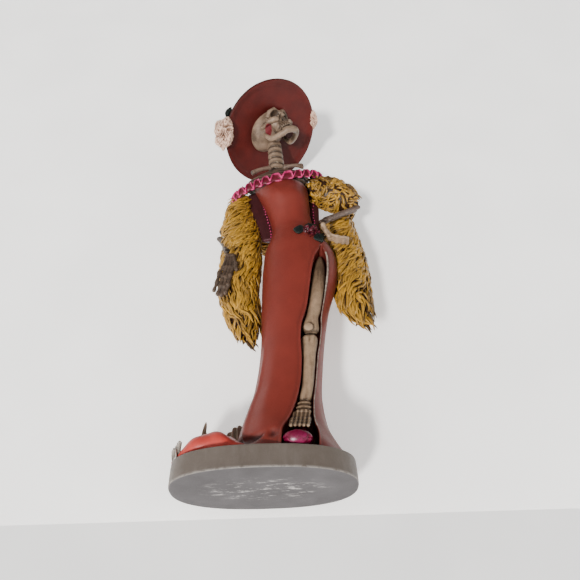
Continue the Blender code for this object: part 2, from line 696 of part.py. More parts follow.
def make_hand(name, wrist, palm_end, spread, fingers, thumb):
    """Palm slab with four fingers and a thumb, fused into one casting."""
    along = palm_end - wrist
    side = spread.normalized()
    half = spread.length
    rows = []
    for t, w, h in ((0.0, 0.55, 1.5), (0.2, 0.78, 1.9), (0.6, 0.95, 1.8), (1.0, 1.0, 1.5)):
        p = (wrist + along * t) / MM
        rows.append((p.x, p.y, p.z, half * w / MM, h))
    palm = add_object(name, loft_mesh(name, swept_rings(rows, 14, side, 0.0, 1)), BONE, PARTS)
    for k, joints in enumerate(fingers):
        root = palm_end + side * half * (0.72 - 0.48 * k) - along * 0.12
        boolean(palm, finger([root] + joints, (1.35 - 0.08 * k) * MM), "UNION")
    root = wrist + along * 0.3 + side * half * 0.7
    boolean(palm, finger([root] + thumb, 1.35 * MM), "UNION")


def make_hands():
    # The lady's right hand hangs beside the boa, fingers down.
    wrist = v(-22.8, -6.8, 163.0)
    palm_end = v(-23.8, -8.0, 150.0)
    fingers = []
    for k in range(4):
        x = -21.6 - 2.5 * k
        drop = (0.0, 1.5, 0.5, -2.5)[k]
        fingers.append([v(x - 0.6, -8.2, 143.5 - drop), v(x - 1.8, -7.6, 136.0 - drop),
                        v(x - 3.6, -6.4, 130.0 - drop)])
    thumb = [v(-18.6, -9.6, 153), v(-18.0, -10.0, 147)]
    make_hand("hand_right", wrist, palm_end, v(4.6, 0.6, 0), fingers, thumb)
    # Her left hand rests edge-on against the hip, fingers bent out and back past the waist.
    wrist = v(41.6, -17.6, 178.6)
    palm_end = v(46.2, -16.6, 168.0)
    fingers = []
    for k in range(4):
        y = -14.2 - 1.75 * k
        fingers.append([v(50.8, y + 1.2, 167.4), v(55.2, y + 3.6, 168.6), v(58.6, y + 6.2, 170.4)])
    thumb = [v(43.4, -20.6, 170.6), v(44.8, -20.8, 165.6)]
    make_hand("hand_left", wrist, palm_end, v(0.3, 3.5, 0.4), fingers, thumb)


def arm_cutter(side):
    shoulder, elbow, _ = ARMS[side]
    return cutter_tube("cut_arm_" + side, v(*shoulder), v(*elbow), 3.5 * MM + GAP, 12)


def swept_cutter(name, rows):
    rings = swept_rings(rows, 16, Vector((1, 0, 0)))
    return add_object(name, loft_mesh(name, rings), None, CUTTERS)


def boa_rings(name, grow=0.0):
    rows, sides, across, steps = BOA[name]
    return swept_rings(rows, sides, Vector(across), grow, steps)


def boa_cutter(name, target):
    cutter = "cut_%s_from_%s" % (name, target)
    return add_object(cutter, loft_mesh(cutter, boa_rings(name, GAP)), None, CUTTERS)


def make_boa():
    """Feather boa: a hanging end under each arm, a sleeve of it, and a swag across the back."""
    forearm = {
        "boa_drape_right": [(-33.5, 21.0, 208.0, 5.0, 3.4), (-28, 7, 186, 5.0, 3.4),
                            (-23.0, -5.0, 166.0, 5.0, 3.6), (-24.0, -7.6, 150.0, 6.6, 3.6),
                            (-26.5, -7.4, 138.0, 7.6, 3.4), (-29.0, -6.0, 125.0, 7.6, 3.4)],
        "boa_sleeve_left": [(76.0, 9.0, 224.0, 5.0, 4.2), (66.0, 2.0, 212.4, 5.0, 4.2),
                            (56.0, -6.0, 200.5, 5.0, 4.2)],
    }
    arm_inside = {"boa_drape_right": "right", "boa_sleeve_left": "left", "boa_back": "right"}
    for name in BOA:
        length = add_object(name, loft_mesh(name, boa_rings(name)), GOLD, PARTS)
        boolean(length, gown_cutter("cut_%s_by_gown" % name), "DIFFERENCE")
        boolean(length, collar_cutter("cut_%s_by_collar" % name), "DIFFERENCE")
        if name in arm_inside:
            boolean(length, arm_cutter(arm_inside[name]), "DIFFERENCE")
        if name in forearm:
            boolean(length, swept_cutter("cut_%s_by_forearm" % name, forearm[name]), "DIFFERENCE")
        if name == "boa_back":
            boolean(length, chest_cutter("cut_boa_back_by_chest"), "DIFFERENCE")
            boolean(length, boa_cutter("boa_drape_right", name), "DIFFERENCE")
            boolean(length, boa_cutter("boa_sleeve_left", name), "DIFFERENCE")
            boolean(length, boa_cutter("boa_drape_left", name), "DIFFERENCE")


def make_webs():
    """Dark lining that joins the bodice's sides to the boa."""
    webs = {
        "lining_web_right": [(-3, 3, 226, 10, 2.4), (-1.6, 3, 217, 10, 2.4), (0.6, 2.6, 206, 9, 2.4),
                             (3, 2.4, 194, 7, 2.4), (4, 2.4, 184, 5, 2)],
        "lining_web_left": [(37, 5, 226, 4.6, 2), (36.4, 4.6, 212, 5, 2), (37, 4, 200, 4, 2),
                            (39.5, 4, 190, 2.6, 1.6)],
    }
    for name, rows in webs.items():
        rings = swept_rings(rows, 12, Vector((1, 0, 0)), 0.0, 1)
        web = add_object(name, loft_mesh(name, rings), BAND, PARTS)
        boolean(web, gown_cutter("cut_%s_by_gown" % name), "DIFFERENCE")
        boolean(web, collar_cutter("cut_%s_by_collar" % name), "DIFFERENCE")
        for other in BOA:
            boolean(web, boa_cutter(other, name), "DIFFERENCE")
        boolean(web, arm_cutter(name.rsplit("_", 1)[1]), "DIFFERENCE")


def make_rose():
    centre = v(33.4, -20.2, 174.6)
    centre.y = surface_y(centre.x, centre.z) - 1.0 * MM
    bloom = ball("hip_rose", centre, v(6.8, 4.4, 6.4), ROSE, PARTS)
    boolean(bloom, gown_cutter("cut_rose_by_gown"), "DIFFERENCE")
    spots = (((26.6, 174.8), (20.0, 177.6)), ((33.8, 181.6), (31.6, 187.6)),
             ((39.2, 169.2), (42.2, 163.4)))
    for k, ((x0, z0), (x1, z1)) in enumerate(spots):
        root = Vector((x0 * MM, surface_y(x0 * MM, z0 * MM, -1, 1.4 * MM), z0 * MM))
        tip = Vector((x1 * MM, surface_y(x1 * MM, z1 * MM, -1, 1.4 * MM), z1 * MM))
        blade = leaf("rose_leaf_%d" % (k + 1), root, tip, 3.0, Vector((0, -1, 0)), DARK)
        boolean(blade, gown_cutter("cut_rose_leaf_by_gown"), "DIFFERENCE")


def make_leg():
    across = Vector((1, 0, 0))
    for name, rows in (("femur", FEMUR), ("tibia", TIBIA)):
        add_object(name, loft_mesh(name, swept_rings(rows, 20, across)), BONE, PARTS)
    ball("kneecap", KNEECAP, v(3.2, 1.5, 3.4), BONE, PARTS, segments=14, rings=8)


def make_foot():
    """Arched foot standing on its toes, with five toe bones."""
    rows = [(23.4, -12.0, 44.6, 3.4, 3.2), (23.0, -13.0, 41.2, 4.2, 3.6),
            (22.2, -15.4, 36.4, 4.6, 3.0), (21.2, -18.4, 31.6, 5.2, 2.4),
            (20.6, -20.4, 28.8, 5.6, 2.0)]
    foot = add_object("foot", loft_mesh("foot", swept_rings(rows, 18, Vector((1, 0, 0)))), BONE, PARTS)
    for k in range(5):
        spread = (k - 2) * 2.3
        root = v(20.8 + spread, -19.2, 30.4)
        tip = v(19.9 + spread, -25.4 + 0.3 * abs(k - 1), 25.0)
        boolean(foot, finger([root, root.lerp(tip, 0.5), tip], 1.2 * MM), "UNION")


def make_shoe():
    """Platform sandal: a thick rounded sole under the toes, rising to the heel."""
    rows = [(18.6, -28.2, 17.0, 5.4, 3.4), (18.6, -26.0, 17.6, 7.6, 4.2),
            (18.8, -20.5, 18.4, 8.0, 4.7), (19.2, -15.4, 20.6, 6.6, 4.4),
            (20.4, -10.2, 26.4, 5.0, 2.6), (21.6, -6.2, 33.0, 4.0, 1.6)]
    side = Vector((1, 0, 0))
    shoe = add_object("shoe", loft_mesh("shoe", swept_rings(rows, 20, side)), SHOE_PINK, PARTS)
    floor = block("cut_shoe_floor", v(18, -20, BASE_HEIGHT / MM + 0.3 - 15), v(60, 60, 30), CUTTERS)
    boolean(shoe, floor, "DIFFERENCE")


clear_scene()
PARTS = collection("catrina")
CUTTERS = collection("cutters")
GREY = material("plinth grey", (0.22, 0.19, 0.165), 0.72)
STEEL = material("rod steel", (0.5, 0.5, 0.5), 0.35, 1.0)
RED = material("gown red", (0.40, 0.055, 0.035), 0.42)
PINK = material("ruffle magenta", (0.45, 0.03, 0.12), 0.45)
SHOE_PINK = material("shoe pink", (0.62, 0.08, 0.30), 0.4)
BONE = material("bone cream", (0.52, 0.43, 0.30), 0.55)
BEIGE = material("petticoat beige", (0.45, 0.36, 0.27), 0.6)
LACE = material("lace white", (0.70, 0.66, 0.60), 0.6)
WHITE = material("flower white", (0.78, 0.73, 0.70), 0.55)
DARK = material("leaf green", (0.02, 0.045, 0.035), 0.5)
BAND = material("band maroon", (0.09, 0.012, 0.012), 0.5)
GOLD = material("boa gold", (0.62, 0.36, 0.04), 0.55)
ROSE = material("rose crimson", (0.28, 0.01, 0.03), 0.4)

make_plinth()
make_rod()
make_gown()
make_slit_trim()
make_train()
lace("train_lace", 0.0, PARTS)
make_petticoat()
make_collar()
make_shoulders()
make_neck()
make_skull()
make_jaw()
make_hat()
make_hat_flowers()
make_arms()
make_hands()
make_boa()
make_webs()
make_rose()
make_leg()
make_foot()
make_shoe()
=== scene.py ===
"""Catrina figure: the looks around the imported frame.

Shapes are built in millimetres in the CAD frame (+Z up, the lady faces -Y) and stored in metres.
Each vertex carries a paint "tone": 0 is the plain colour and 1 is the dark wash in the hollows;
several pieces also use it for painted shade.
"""
import bpy
import bmesh
import random
from math import acos, cos, exp, pi, radians, sin, sqrt
from mathutils import Matrix, Vector, noise


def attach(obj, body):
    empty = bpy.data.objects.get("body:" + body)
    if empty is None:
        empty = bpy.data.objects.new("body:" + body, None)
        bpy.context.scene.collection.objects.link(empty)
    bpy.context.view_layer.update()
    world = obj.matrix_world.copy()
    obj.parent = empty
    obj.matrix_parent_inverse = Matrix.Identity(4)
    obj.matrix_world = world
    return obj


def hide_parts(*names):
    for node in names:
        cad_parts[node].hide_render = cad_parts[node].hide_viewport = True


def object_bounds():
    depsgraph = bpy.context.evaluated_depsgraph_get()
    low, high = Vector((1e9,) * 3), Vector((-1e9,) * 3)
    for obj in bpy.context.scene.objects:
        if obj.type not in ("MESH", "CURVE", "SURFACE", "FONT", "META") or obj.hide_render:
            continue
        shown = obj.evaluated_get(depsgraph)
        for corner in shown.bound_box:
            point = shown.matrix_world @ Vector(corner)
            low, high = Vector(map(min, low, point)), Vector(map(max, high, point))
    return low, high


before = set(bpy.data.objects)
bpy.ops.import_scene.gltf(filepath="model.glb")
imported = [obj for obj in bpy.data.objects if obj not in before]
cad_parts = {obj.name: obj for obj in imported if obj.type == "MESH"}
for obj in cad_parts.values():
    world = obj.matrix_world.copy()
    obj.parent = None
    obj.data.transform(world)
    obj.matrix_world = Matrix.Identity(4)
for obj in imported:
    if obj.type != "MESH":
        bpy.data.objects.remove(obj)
CAD_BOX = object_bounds()
MM = 0.001
noise.seed_set(1)  # without this, noise_vector follows the clock
GAP = 0.3  # clear space over the plinth's top (mm)


def v(x, y, z):
    return Vector((x, y, z))


# ---------------------------------------------------------------- sizes, as in the frame (mm)
BASE_LENGTH, BASE_DEPTH, BASE_HEIGHT, BASE_SQUARE = 102.0, 61.2, 13.0, 2.4
GOWN_FOOT, GOWN_TOP, SLIT_TOP = 13, 233, 163

# gown: height, centre x, centre y, half width, half depth
GOWN_RINGS = [
    (13.3, 14.6, -0.5, 31.2, 27.5), (17, 14.0, -0.5, 30.4, 26.5), (24, 12.6, -0.5, 28.0, 24.5),
    (34, 11.8, 0.0, 24.8, 22.0), (46, 12.6, 0.0, 21.9, 19.8), (60, 14.6, 0.0, 19.8, 18.6),
    (88, 17.9, 0.0, 19.8, 18.6), (116, 20.5, 0.0, 22.0, 19.4), (140, 24.0, 1.0, 25.2, 20.9),
    (156, 25.2, 1.5, 25.6, 20.9), (168, 24.8, 1.5, 24.0, 19.6), (180, 23.4, 1.0, 19.0, 16.2),
    (190, 21.4, 0.6, 15.4, 13.8), (202, 19.4, -0.6, 15.2, 14.8), (214, 17.4, -1.4, 16.8, 16.8),
    (226, 15.0, -0.6, 19.0, 16.0), (233, 13.4, 0.4, 19.8, 14.4),
]
# bony chest: height, centre x, centre y, half width, half depth, slope along x
CHEST_RINGS = [
    (233.4, 13.0, 0.8, 19.0, 13.4, 0.0), (239.5, 11.4, 1.2, 22.8, 13.0, 0.10),
    (244.5, 10.0, 1.6, 24.6, 11.4, 0.20), (248.5, 10.0, 1.8, 20.0, 9.8, 0.20),
    (252.5, 10.8, 2.2, 9.6, 7.6, 0.06), (255.6, 10.8, 2.4, 6.4, 6.0, 0.0),
]
# side slit: height, centre x, half width
SLIT_RINGS = [
    (10, 19.8, 9.8), (24, 20.4, 9.4), (31, 21.2, 7.0), (37, 22.3, 5.6), (46, 23.9, 4.4),
    (57, 25.8, 4.1), (70, 27.1, 4.35), (78, 27.6, 4.8), (86, 28.3, 5.6), (97, 29.6, 5.8),
    (104, 30.8, 4.9), (112, 32.5, 4.6), (126, 34.9, 4.9), (140, 37.0, 4.9), (151, 38.4, 3.9),
    (157, 39.1, 2.2), (161, 39.3, 0.7),
]
SLIT_BACK_Y = -3.0

# leg bones: x, y, z, half width, half depth
FEMUR = [
    (29.4, -11.2, 92.8, 3.6, 2.6), (29.4, -11.4, 94.4, 4.9, 3.9), (29.5, -11.4, 97.5, 5.2, 4.2),
    (30.8, -11.4, 104.3, 3.9, 3.5), (32.4, -11.5, 111.2, 4.1, 3.3), (34.9, -11.4, 126, 4.4, 3.3),
    (36.0, -11.0, 133.5, 4.5, 3.3), (36.9, -10.5, 141.2, 4.2, 3.1), (38.0, -9.9, 150.0, 3.0, 2.4),
    (38.6, -9.4, 156.2, 1.0, 0.9),
]
TIBIA = [
    (28.4, -11.4, 90.6, 3.6, 2.6), (28.4, -11.5, 88.6, 4.9, 3.9), (28.1, -11.6, 85.4, 5.0, 4.0),
    (27.5, -11.8, 78.0, 4.2, 3.5), (27.1, -11.9, 70.0, 3.8, 3.3), (25.7, -12.1, 56.2, 3.5, 3.1),
    (24.2, -12.4, 47.5, 3.5, 3.1), (23.9, -12.4, 45.4, 2.6, 2.4),
]
KNEECAP = v(27.9, -16.9, 93.6)

ROD_BEND, ROD_TOP = v(10.8, 2.6, 254), v(8.4, -2.6, 291)
NECK_COUNT, NECK_START, NECK_PITCH, NECK_RADIUS = 5, 3.1, 6.0, 6.4

HEAD = (Matrix.Translation(v(5.6, -8.5, 299.6)) @ Matrix.Rotation(radians(-33), 4, "Y")
        @ Matrix.Rotation(radians(32), 4, "Z") @ Matrix.Rotation(radians(10), 4, "X")
        @ Matrix.Scale(1.06, 4))
HAT = (Matrix.Translation(v(6.8, -8.6, 295.5)) @ Matrix.Rotation(radians(-34), 4, "Y")
       @ Matrix.Rotation(radians(-15), 4, "X"))
BRIM_RADIUS, CROWN_RADIUS = 42.6, 23.5

ARMS = {
    "left": (v(34.0, 2.0, 240.5), v(73.0, 7.0, 221.0), v(41.8, -17.5, 182.5)),
    "right": (v(-11.0, 4.0, 232.0), v(-33.5, 21.0, 206.0), v(-23.0, -6.0, 166.0)),
}
# feather boa: rows of x, y, z, half width, half thickness; direction of the width
BOA = {
    "boa_drape_right": ([
        (-14, 8, 232, 5, 6), (-17, 8, 224, 9.5, 9.5), (-18.5, 8, 208, 12, 11),
        (-16, 6, 192, 13, 12), (-16, 5.5, 176, 14, 12.5), (-17, 5.5, 158, 14.5, 12.5),
        (-17.5, 5, 140, 13.5, 11.5), (-14.5, 4, 122, 12, 10), (-11, 3.5, 108, 8, 7.5),
        (-10, 3, 99, 3, 3.5)], (1, 0, 0)),
    "boa_drape_left": ([
        (59, 12, 212, 6, 6), (58.5, 11, 204, 9, 9), (58.5, 10, 190, 11, 10.5),
        (59.5, 9.5, 174, 12.5, 11), (60.5, 8.5, 156, 13, 11), (60.5, 7, 140, 13, 10.5),
        (61.5, 5, 127, 11, 8.5), (65, 4, 117, 7, 6), (68, 4, 110, 2.5, 3)], (1, 0, 0)),
    "boa_sleeve_left": ([
        (35, 0, 232, 7, 6), (42, 0, 232, 11, 11), (52, 1, 229, 12.5, 13),
        (62, 3.5, 225, 11.5, 11.5), (69, 6, 223, 6.5, 7)], (0, 1, 0)),
    "boa_back": ([
        (-25, 17, 224, 7, 6), (-18, 25, 219, 9, 8), (-6, 30, 211, 9.5, 8.5), (10, 31, 206, 10, 9),
        (27, 31, 206, 10, 9), (42, 29.5, 211, 9.5, 8.5), (54, 24, 217, 9, 8),
        (62, 15, 220, 7, 6)], (0, 0, 1)),
}


# ---------------------------------------------------------------- maths
def clamp(x, low=0.0, high=1.0):
    return max(low, min(high, x))


def ease(a, b, x):
    """0 before a, 1 after b, smooth between."""
    t = clamp((x - a) / (b - a))
    return t * t * (3 - 2 * t)


def mix(a, b, t):
    return a + (b - a) * t


def turns(count):
    """Angles evenly round a circle."""
    return [2 * pi * k / count for k in range(count)]


def rough_noise(p, size, octaves=3):
    """Fractal noise of about -1 to 1 whose largest features are size mm."""
    return noise.fractal(p / size, 1.0, 2.0, octaves)


def catmull(values, t):
    i = min(int(t), len(values) - 2)
    f = t - i
    p = [values[max(0, min(len(values) - 1, i + k))] for k in (-1, 0, 1, 2)]
    return 0.5 * (2 * p[1] + (p[2] - p[0]) * f
                  + (2 * p[0] - 5 * p[1] + 4 * p[2] - p[3]) * f * f
                  + (3 * p[1] - p[0] - 3 * p[2] + p[3]) * f ** 3)


def smooth_rows(rows, steps):
    columns = list(zip(*rows))
    count = (len(rows) - 1) * steps
    return [[catmull(column, k / steps) for column in columns] for k in range(count + 1)]


def row_at(rows, z):
    """The row at height z, straight between its neighbours."""
    for low, high in zip(rows, rows[1:]):
        if z <= high[0]:
            t = clamp((z - low[0]) / (high[0] - low[0]))
            return [mix(a, b, t) for a, b in zip(low, high)]
    return list(rows[-1])


GOWN_FINE = smooth_rows(GOWN_RINGS, 8)
SLIT_FINE = smooth_rows(SLIT_RINGS, 6)


def gown_y(x, z, grow=0.0):
    """The gown's front surface at x, z, moved out by grow."""
    _, cx, cy, hx, hy = row_at(GOWN_FINE, z)
    across = clamp((x - cx) / (hx + grow), -0.98, 0.98)
    return cy - (hy + grow) * sqrt(1 - across * across)


def rim_point(a, inset, z=0.0):
    """Point of the plinth's outline, a slightly squared oval, drawn in by inset."""
    power = 2 / BASE_SQUARE
    x = abs(cos(a)) ** power * (BASE_LENGTH / 2 - inset)
    y = abs(sin(a)) ** power * (BASE_DEPTH / 2 - inset)
    return v(x if cos(a) > 0 else -x, y if sin(a) > 0 else -y, z)


def in_gown(p, grow=0.0):
    if not GOWN_FOOT < p.z < GOWN_TOP:
        return False
    _, cx, cy, hx, hy = row_at(GOWN_FINE, p.z)
    return ((p.x - cx) / (hx + grow)) ** 2 + ((p.y - cy) / (hy + grow)) ** 2 < 1


# ---------------------------------------------------------------- shapes
class Shape:
    """Points in mm, faces, and a paint tone for each point."""

    def __init__(self):
        self.points, self.faces, self.tones = [], [], []

    def skin(self, rings, tones=None, loop=False):
        """Adds a skin through rings of equally many points, capped unless it is a loop."""
        base, n = len(self.points), len(rings[0])
        for i, ring in enumerate(rings):
            self.points += ring
            tone = tones[i] if tones else 0.0
            self.tones += tone if isinstance(tone, list) else [tone] * n
        for i in range(len(rings) if loop else len(rings) - 1):
            a, b = base + i * n, base + (i + 1) % len(rings) * n
            self.faces += [(a + k, a + (k + 1) % n, b + (k + 1) % n, b + k) for k in range(n)]
        if not loop:
            self.faces.append(tuple(range(base + n - 1, base - 1, -1)))
            self.faces.append(tuple(range(base + (len(rings) - 1) * n, base + len(rings) * n)))
        return self

    def woven(self, rows, loop=False):
        """Adds a skin through rows of (point, tone) pairs."""
        return self.skin([[p for p, _ in row] for row in rows],
                         [[tone for _, tone in row] for row in rows], loop)

    def ball(self, centre, radii, segments=20, rings=12, tone=0.0):
        """Adds an ellipsoid whose poles are tiny flat caps."""
        loops = []
        for i in range(rings + 1):
            b = clamp(pi * (i / rings - 0.5), -pi / 2 + 0.02, pi / 2 - 0.02)
            loops.append([centre + v(radii.x * cos(b) * cos(a), radii.y * cos(b) * sin(a),
                                     radii.z * sin(b)) for a in turns(segments)])
        return self.skin(loops, [tone] * len(loops))

    def rod(self, points, radii, sides=12, tones=None):
        """Adds a rod along points; radii are numbers or (across, up) pairs."""
        pairs = [r if isinstance(r, tuple) else (r, r) for r in radii]
        return self.skin([oval(points, i, *pair, sides) for i, pair in enumerate(pairs)], tones)

    def move(self, place):
        self.points = [place @ p for p in self.points]


def oval(line, i, a, b, sides, guide=None):
    """Ring square to a line at its point i: a wide towards guide, and b wide the other way."""
    ahead = (line[min(i + 1, len(line) - 1)] - line[max(i - 1, 0)]).normalized()
    if guide is None:
        guide = v(0, 0, 1) if abs(ahead.z) < 0.9 else v(1, 0, 0)
    across = (guide - ahead * guide.dot(ahead)).normalized()
    up = ahead.cross(across)
    return [line[i] + across * a * cos(t) + up * b * sin(t) for t in turns(sides)]


def mesh_of(name, shape):
    mesh = bpy.data.meshes.new(name)
    mesh.from_pydata([p * MM for p in shape.points], [], shape.faces)
    bm = bmesh.new()
    bm.from_mesh(mesh)
    bmesh.ops.recalc_face_normals(bm, faces=bm.faces)
    bm.to_mesh(mesh)
    bm.free()
    tone = mesh.attributes.new("tone", "FLOAT", "POINT")
    tone.data.foreach_set("value", shape.tones)
    mesh.shade_smooth()
    return mesh


def piece(name, made, paint, *nodes, rise=None, tone=None):
    """Links a shape or mesh as a piece that stands for CAD nodes, in a paint's material; the
    paint's slot is not used.
    """
    mesh = mesh_of(name, made) if isinstance(made, Shape) else made
    if rise or tone:
        relief(mesh, rise, tone)
    mat, slot = paint
    mesh.materials.append(mat)
    made = bpy.data.objects.new(name, mesh)
    bpy.context.scene.collection.objects.link(made)
    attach(made, "root")
    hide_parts(*nodes)


def relief(mesh, rise, tone=None):
    """Moves each point along its normal by rise(p, n) mm, and repaints it with tone(p, n)."""
    spots = [(p.co / MM, Vector(p.normal)) for p in mesh.vertices]
    if rise:
        for vert, (p, n) in zip(mesh.vertices, spots):
            vert.co = (p + n * rise(p, n)) * MM
    if tone:
        if "tone" not in mesh.attributes:
            mesh.attributes.new("tone", "FLOAT", "POINT")
        mesh.attributes["tone"].data.foreach_set("value", [tone(p, n) for p, n in spots])
    mesh.update()
    return mesh


def bumps(height, size, stretch=(1, 1, 1)):
    """A rise for relief: noise of a height, with features about size mm."""
    return lambda p, n: height * rough_noise(v(*(a * b for a, b in zip(p, stretch))), size)


def rest_on_plinth(mesh):
    """Flattens what would sink into the plinth."""
    for vert in mesh.vertices:
        vert.co.z = max(vert.co.z, (BASE_HEIGHT + GAP) * MM)


def fused(name, shape, voxel, smooth=2, cut=None):
    """One skin round all of a shape's overlapping bodies, less the cut shape, softened."""
    def evaluated(mesh, add):
        made = bpy.data.objects.new(name, mesh)
        bpy.context.scene.collection.objects.link(made)
        add(made)
        graph = bpy.context.evaluated_depsgraph_get()
        done = bpy.data.meshes.new_from_object(made.evaluated_get(graph))
        bpy.data.objects.remove(made, do_unlink=True)
        return done

    def remesh(made):
        change = made.modifiers.new("Fuse", "REMESH")
        change.mode = "VOXEL"
        change.voxel_size = voxel * MM

    mesh = evaluated(mesh_of(name, shape), remesh)
    if cut:
        tool = bpy.data.objects.new("tool", evaluated(mesh_of("tool", cut), remesh))
        bpy.context.scene.collection.objects.link(tool)

        def carve(made):
            change = made.modifiers.new("Carve", "BOOLEAN")
            change.object, change.operation, change.solver = tool, "DIFFERENCE", "EXACT"
            remesh(made)
        mesh = evaluated(mesh, carve)
        bpy.data.objects.remove(tool, do_unlink=True)
    bm = bmesh.new()
    bm.from_mesh(mesh)
    for _ in range(smooth):
        bmesh.ops.smooth_vert(bm, verts=bm.verts, factor=0.5, use_axis_x=True, use_axis_y=True,
                              use_axis_z=True)
    bm.to_mesh(mesh)
    bm.free()
    mesh.shade_smooth()
    return mesh


def swept(rows, sides, side, steps, grow=0.0):
    """Oval rings square to a path of rows x, y, z, half width towards side, half thickness."""
    stations = smooth_rows(rows, steps)
    centres = [Vector(s[:3]) for s in stations]
    return [oval(centres, i, s[3] + grow, s[4] + grow, sides, side)
            for i, s in enumerate(stations)]


# ---------------------------------------------------------------- paint
class Nodes:
    """A short way to wire a material."""

    def __init__(self, name):
        self.mat = bpy.data.materials.new(name)
        self.mat.use_nodes = True
        self.tree = self.mat.node_tree
        self.shader = self.tree.nodes["Principled BSDF"]
        self.place = self.add("TexCoord").outputs["Object"]

    def link(self, value, socket):
        if isinstance(value, bpy.types.NodeSocket):
            self.tree.links.new(value, socket)
        else:
            socket.default_value = value

    def add(self, kind, inputs=(), **settings):
        """A new node with its settings, and its inputs set or linked by name or number."""
        made = self.tree.nodes.new("ShaderNode" + kind)
        for name, value in settings.items():
            setattr(made, name, value)
        for key, value in dict(inputs).items():
            self.link(value, made.inputs[key])
        return made

    def mapped(self, scale, location=(0, 0, 0)):
        made = self.add("Mapping", {"Vector": self.place, "Location": location, "Scale": scale})
        return made.outputs["Vector"]

    def noise(self, size, detail=3.0, rough=0.5, stretch=None):
        """Noise of 0 to 1 with features about size mm, longer along the stretched axes."""
        place = self.mapped(stretch) if stretch else self.place
        return self.add("TexNoise", {"Vector": place, "Scale": 1 / MM / size, "Detail": detail,
                                     "Roughness": rough}).outputs["Fac"]

    def span(self, value, a, b, low=0.0, high=1.0):
        """Maps a to low and b to high, and holds it between them."""
        return self.add("MapRange", enumerate((value, a, b, low, high))).outputs["Result"]

    def maths(self, kind, a, b):
        return self.add("Math", {0: a, 1: b}, operation=kind, use_clamp=True).outputs[0]

    def length(self, vector):
        return self.add("VectorMath", {0: vector}, operation="LENGTH").outputs["Value"]

    def blend(self, factor, a, b):
        a, b = ((*c, 1.0) if isinstance(c, tuple) else c for c in (a, b))
        made = self.add("Mix", data_type="RGBA")
        for key, value in (("Factor", factor), (6, a), (7, b)):
            self.link(value, made.inputs[key])
        return made.outputs[2]

    def bump(self, height, strength, depth=0.2):
        made = self.add("Bump", {"Height": height, "Strength": strength, "Distance": depth * MM})
        self.link(made.outputs["Normal"], self.shader.inputs["Normal"])


def painted(name, slot, plain, deep, high, rough=0.45, wash=0.75, dust=0.5, mottle=0.16, size=9.0,
            bump=0.18, gloss=0.35, edge=(0.515, 0.56), crease=(0.492, 0.455), mark=None):
    """Brushed paint over cast resin: mottled colour, dark wash and painted shade set by tone,
    dry-brushed edges.

    Returns a paint: the material and the record's slot. A mark is an oval spot in a paint of its
    own: its centre and radii in mm, and its colour.
    """
    n = Nodes(name)
    cloud, fine = n.noise(size, 4.0, 0.6), n.noise(0.9, 3.0, 0.65)
    dark, light = (tuple(c * (1 + m) for c in plain) for m in (-mottle, mottle))
    colour = n.blend(n.span(cloud, 0.35, 0.65), dark, light)
    tone = n.add("Attribute", attribute_name="tone").outputs["Fac"]
    # the tone darkens by the dark wash, and by painted shade where a piece's tone puts shade
    worn = n.span(n.maths("ADD", tone, n.span(fine, 0.3, 0.7, 0.0, 0.25)), 0.15, 0.95, 0.0, wash)
    colour = n.blend(worn, colour, deep)
    pointed = n.add("NewGeometry").outputs["Pointiness"]
    colour = n.blend(n.span(pointed, *crease, 0.0, wash), colour, deep)
    rubbed = n.maths("MULTIPLY", n.span(pointed, *edge, 0.0, dust),
                     n.span(n.noise(2.2, 3.0, 0.7), 0.35, 0.6))
    colour = n.blend(rubbed, colour, high)
    if mark:
        centre, radii, paint = mark
        # a Math node's clamp stops at 1, so the spot's own edge is put at 0.5
        away = n.length(n.mapped([0.5 / (r * MM) for r in radii],
                                 [-0.5 * c / r for c, r in zip(centre, radii)]))
        away = n.maths("ADD", away, n.span(fine, 0.3, 0.7, 0.0, 0.06))
        colour = n.blend(n.span(away, 0.58, 0.48), colour, paint)
    n.link(colour, n.shader.inputs["Base Color"])
    n.link(n.span(fine, 0.25, 0.75, rough - 0.07, rough + 0.1), n.shader.inputs["Roughness"])
    n.shader.inputs["Specular IOR Level"].default_value = gloss
    n.bump(n.blend(0.35, fine, cloud), bump)
    return n.mat, slot


CLOTH_EDGES = dict(edge=(0.52, 0.60), crease=(0.485, 0.44))
RED = painted("gown red paint", "gown_red", (0.1254, 0.0164, 0.0103), (0.0266, 0.0047, 0.004),
              (0.228, 0.1016, 0.0871), rough=0.50, dust=0.4, mottle=0.08, size=14, bump=0.10,
              gloss=0.30, **CLOTH_EDGES)
# a lighter copy of the gown red for the train: painted light on its lit top
LIT_TRAIN_RED = painted("gown red lightened as painted light", "gown_red", (0.408, 0.0395, 0.029), (0.098, 0.011, 0.00968),
                    (0.653, 0.219, 0.206), rough=0.46, mottle=0.1, size=12, bump=0.12,
                    **CLOTH_EDGES)
# a darker copy of the gown red: painted shade over the whole hat
SHADED_HAT_RED = painted("gown red darkened as painted shade for the hat", "gown_red", (0.0633, 0.00422, 0.00259),
                  (0.0114, 0.00104, 0.000792), (0.0898, 0.0148, 0.01), rough=0.52, dust=0.25,
                  mottle=0.14, size=11, bump=0.14, gloss=0.22, edge=(0.52, 0.60),
                  crease=(0.485, 0.43))
BONE = painted("bone cream paint", "bone_cream", (0.2458, 0.1647, 0.1026),
               (0.0335, 0.0177, 0.0091), (0.3873, 0.2788, 0.1882), rough=0.50, wash=0.9,
               mottle=0.15, size=5, bump=0.25, gloss=0.25)
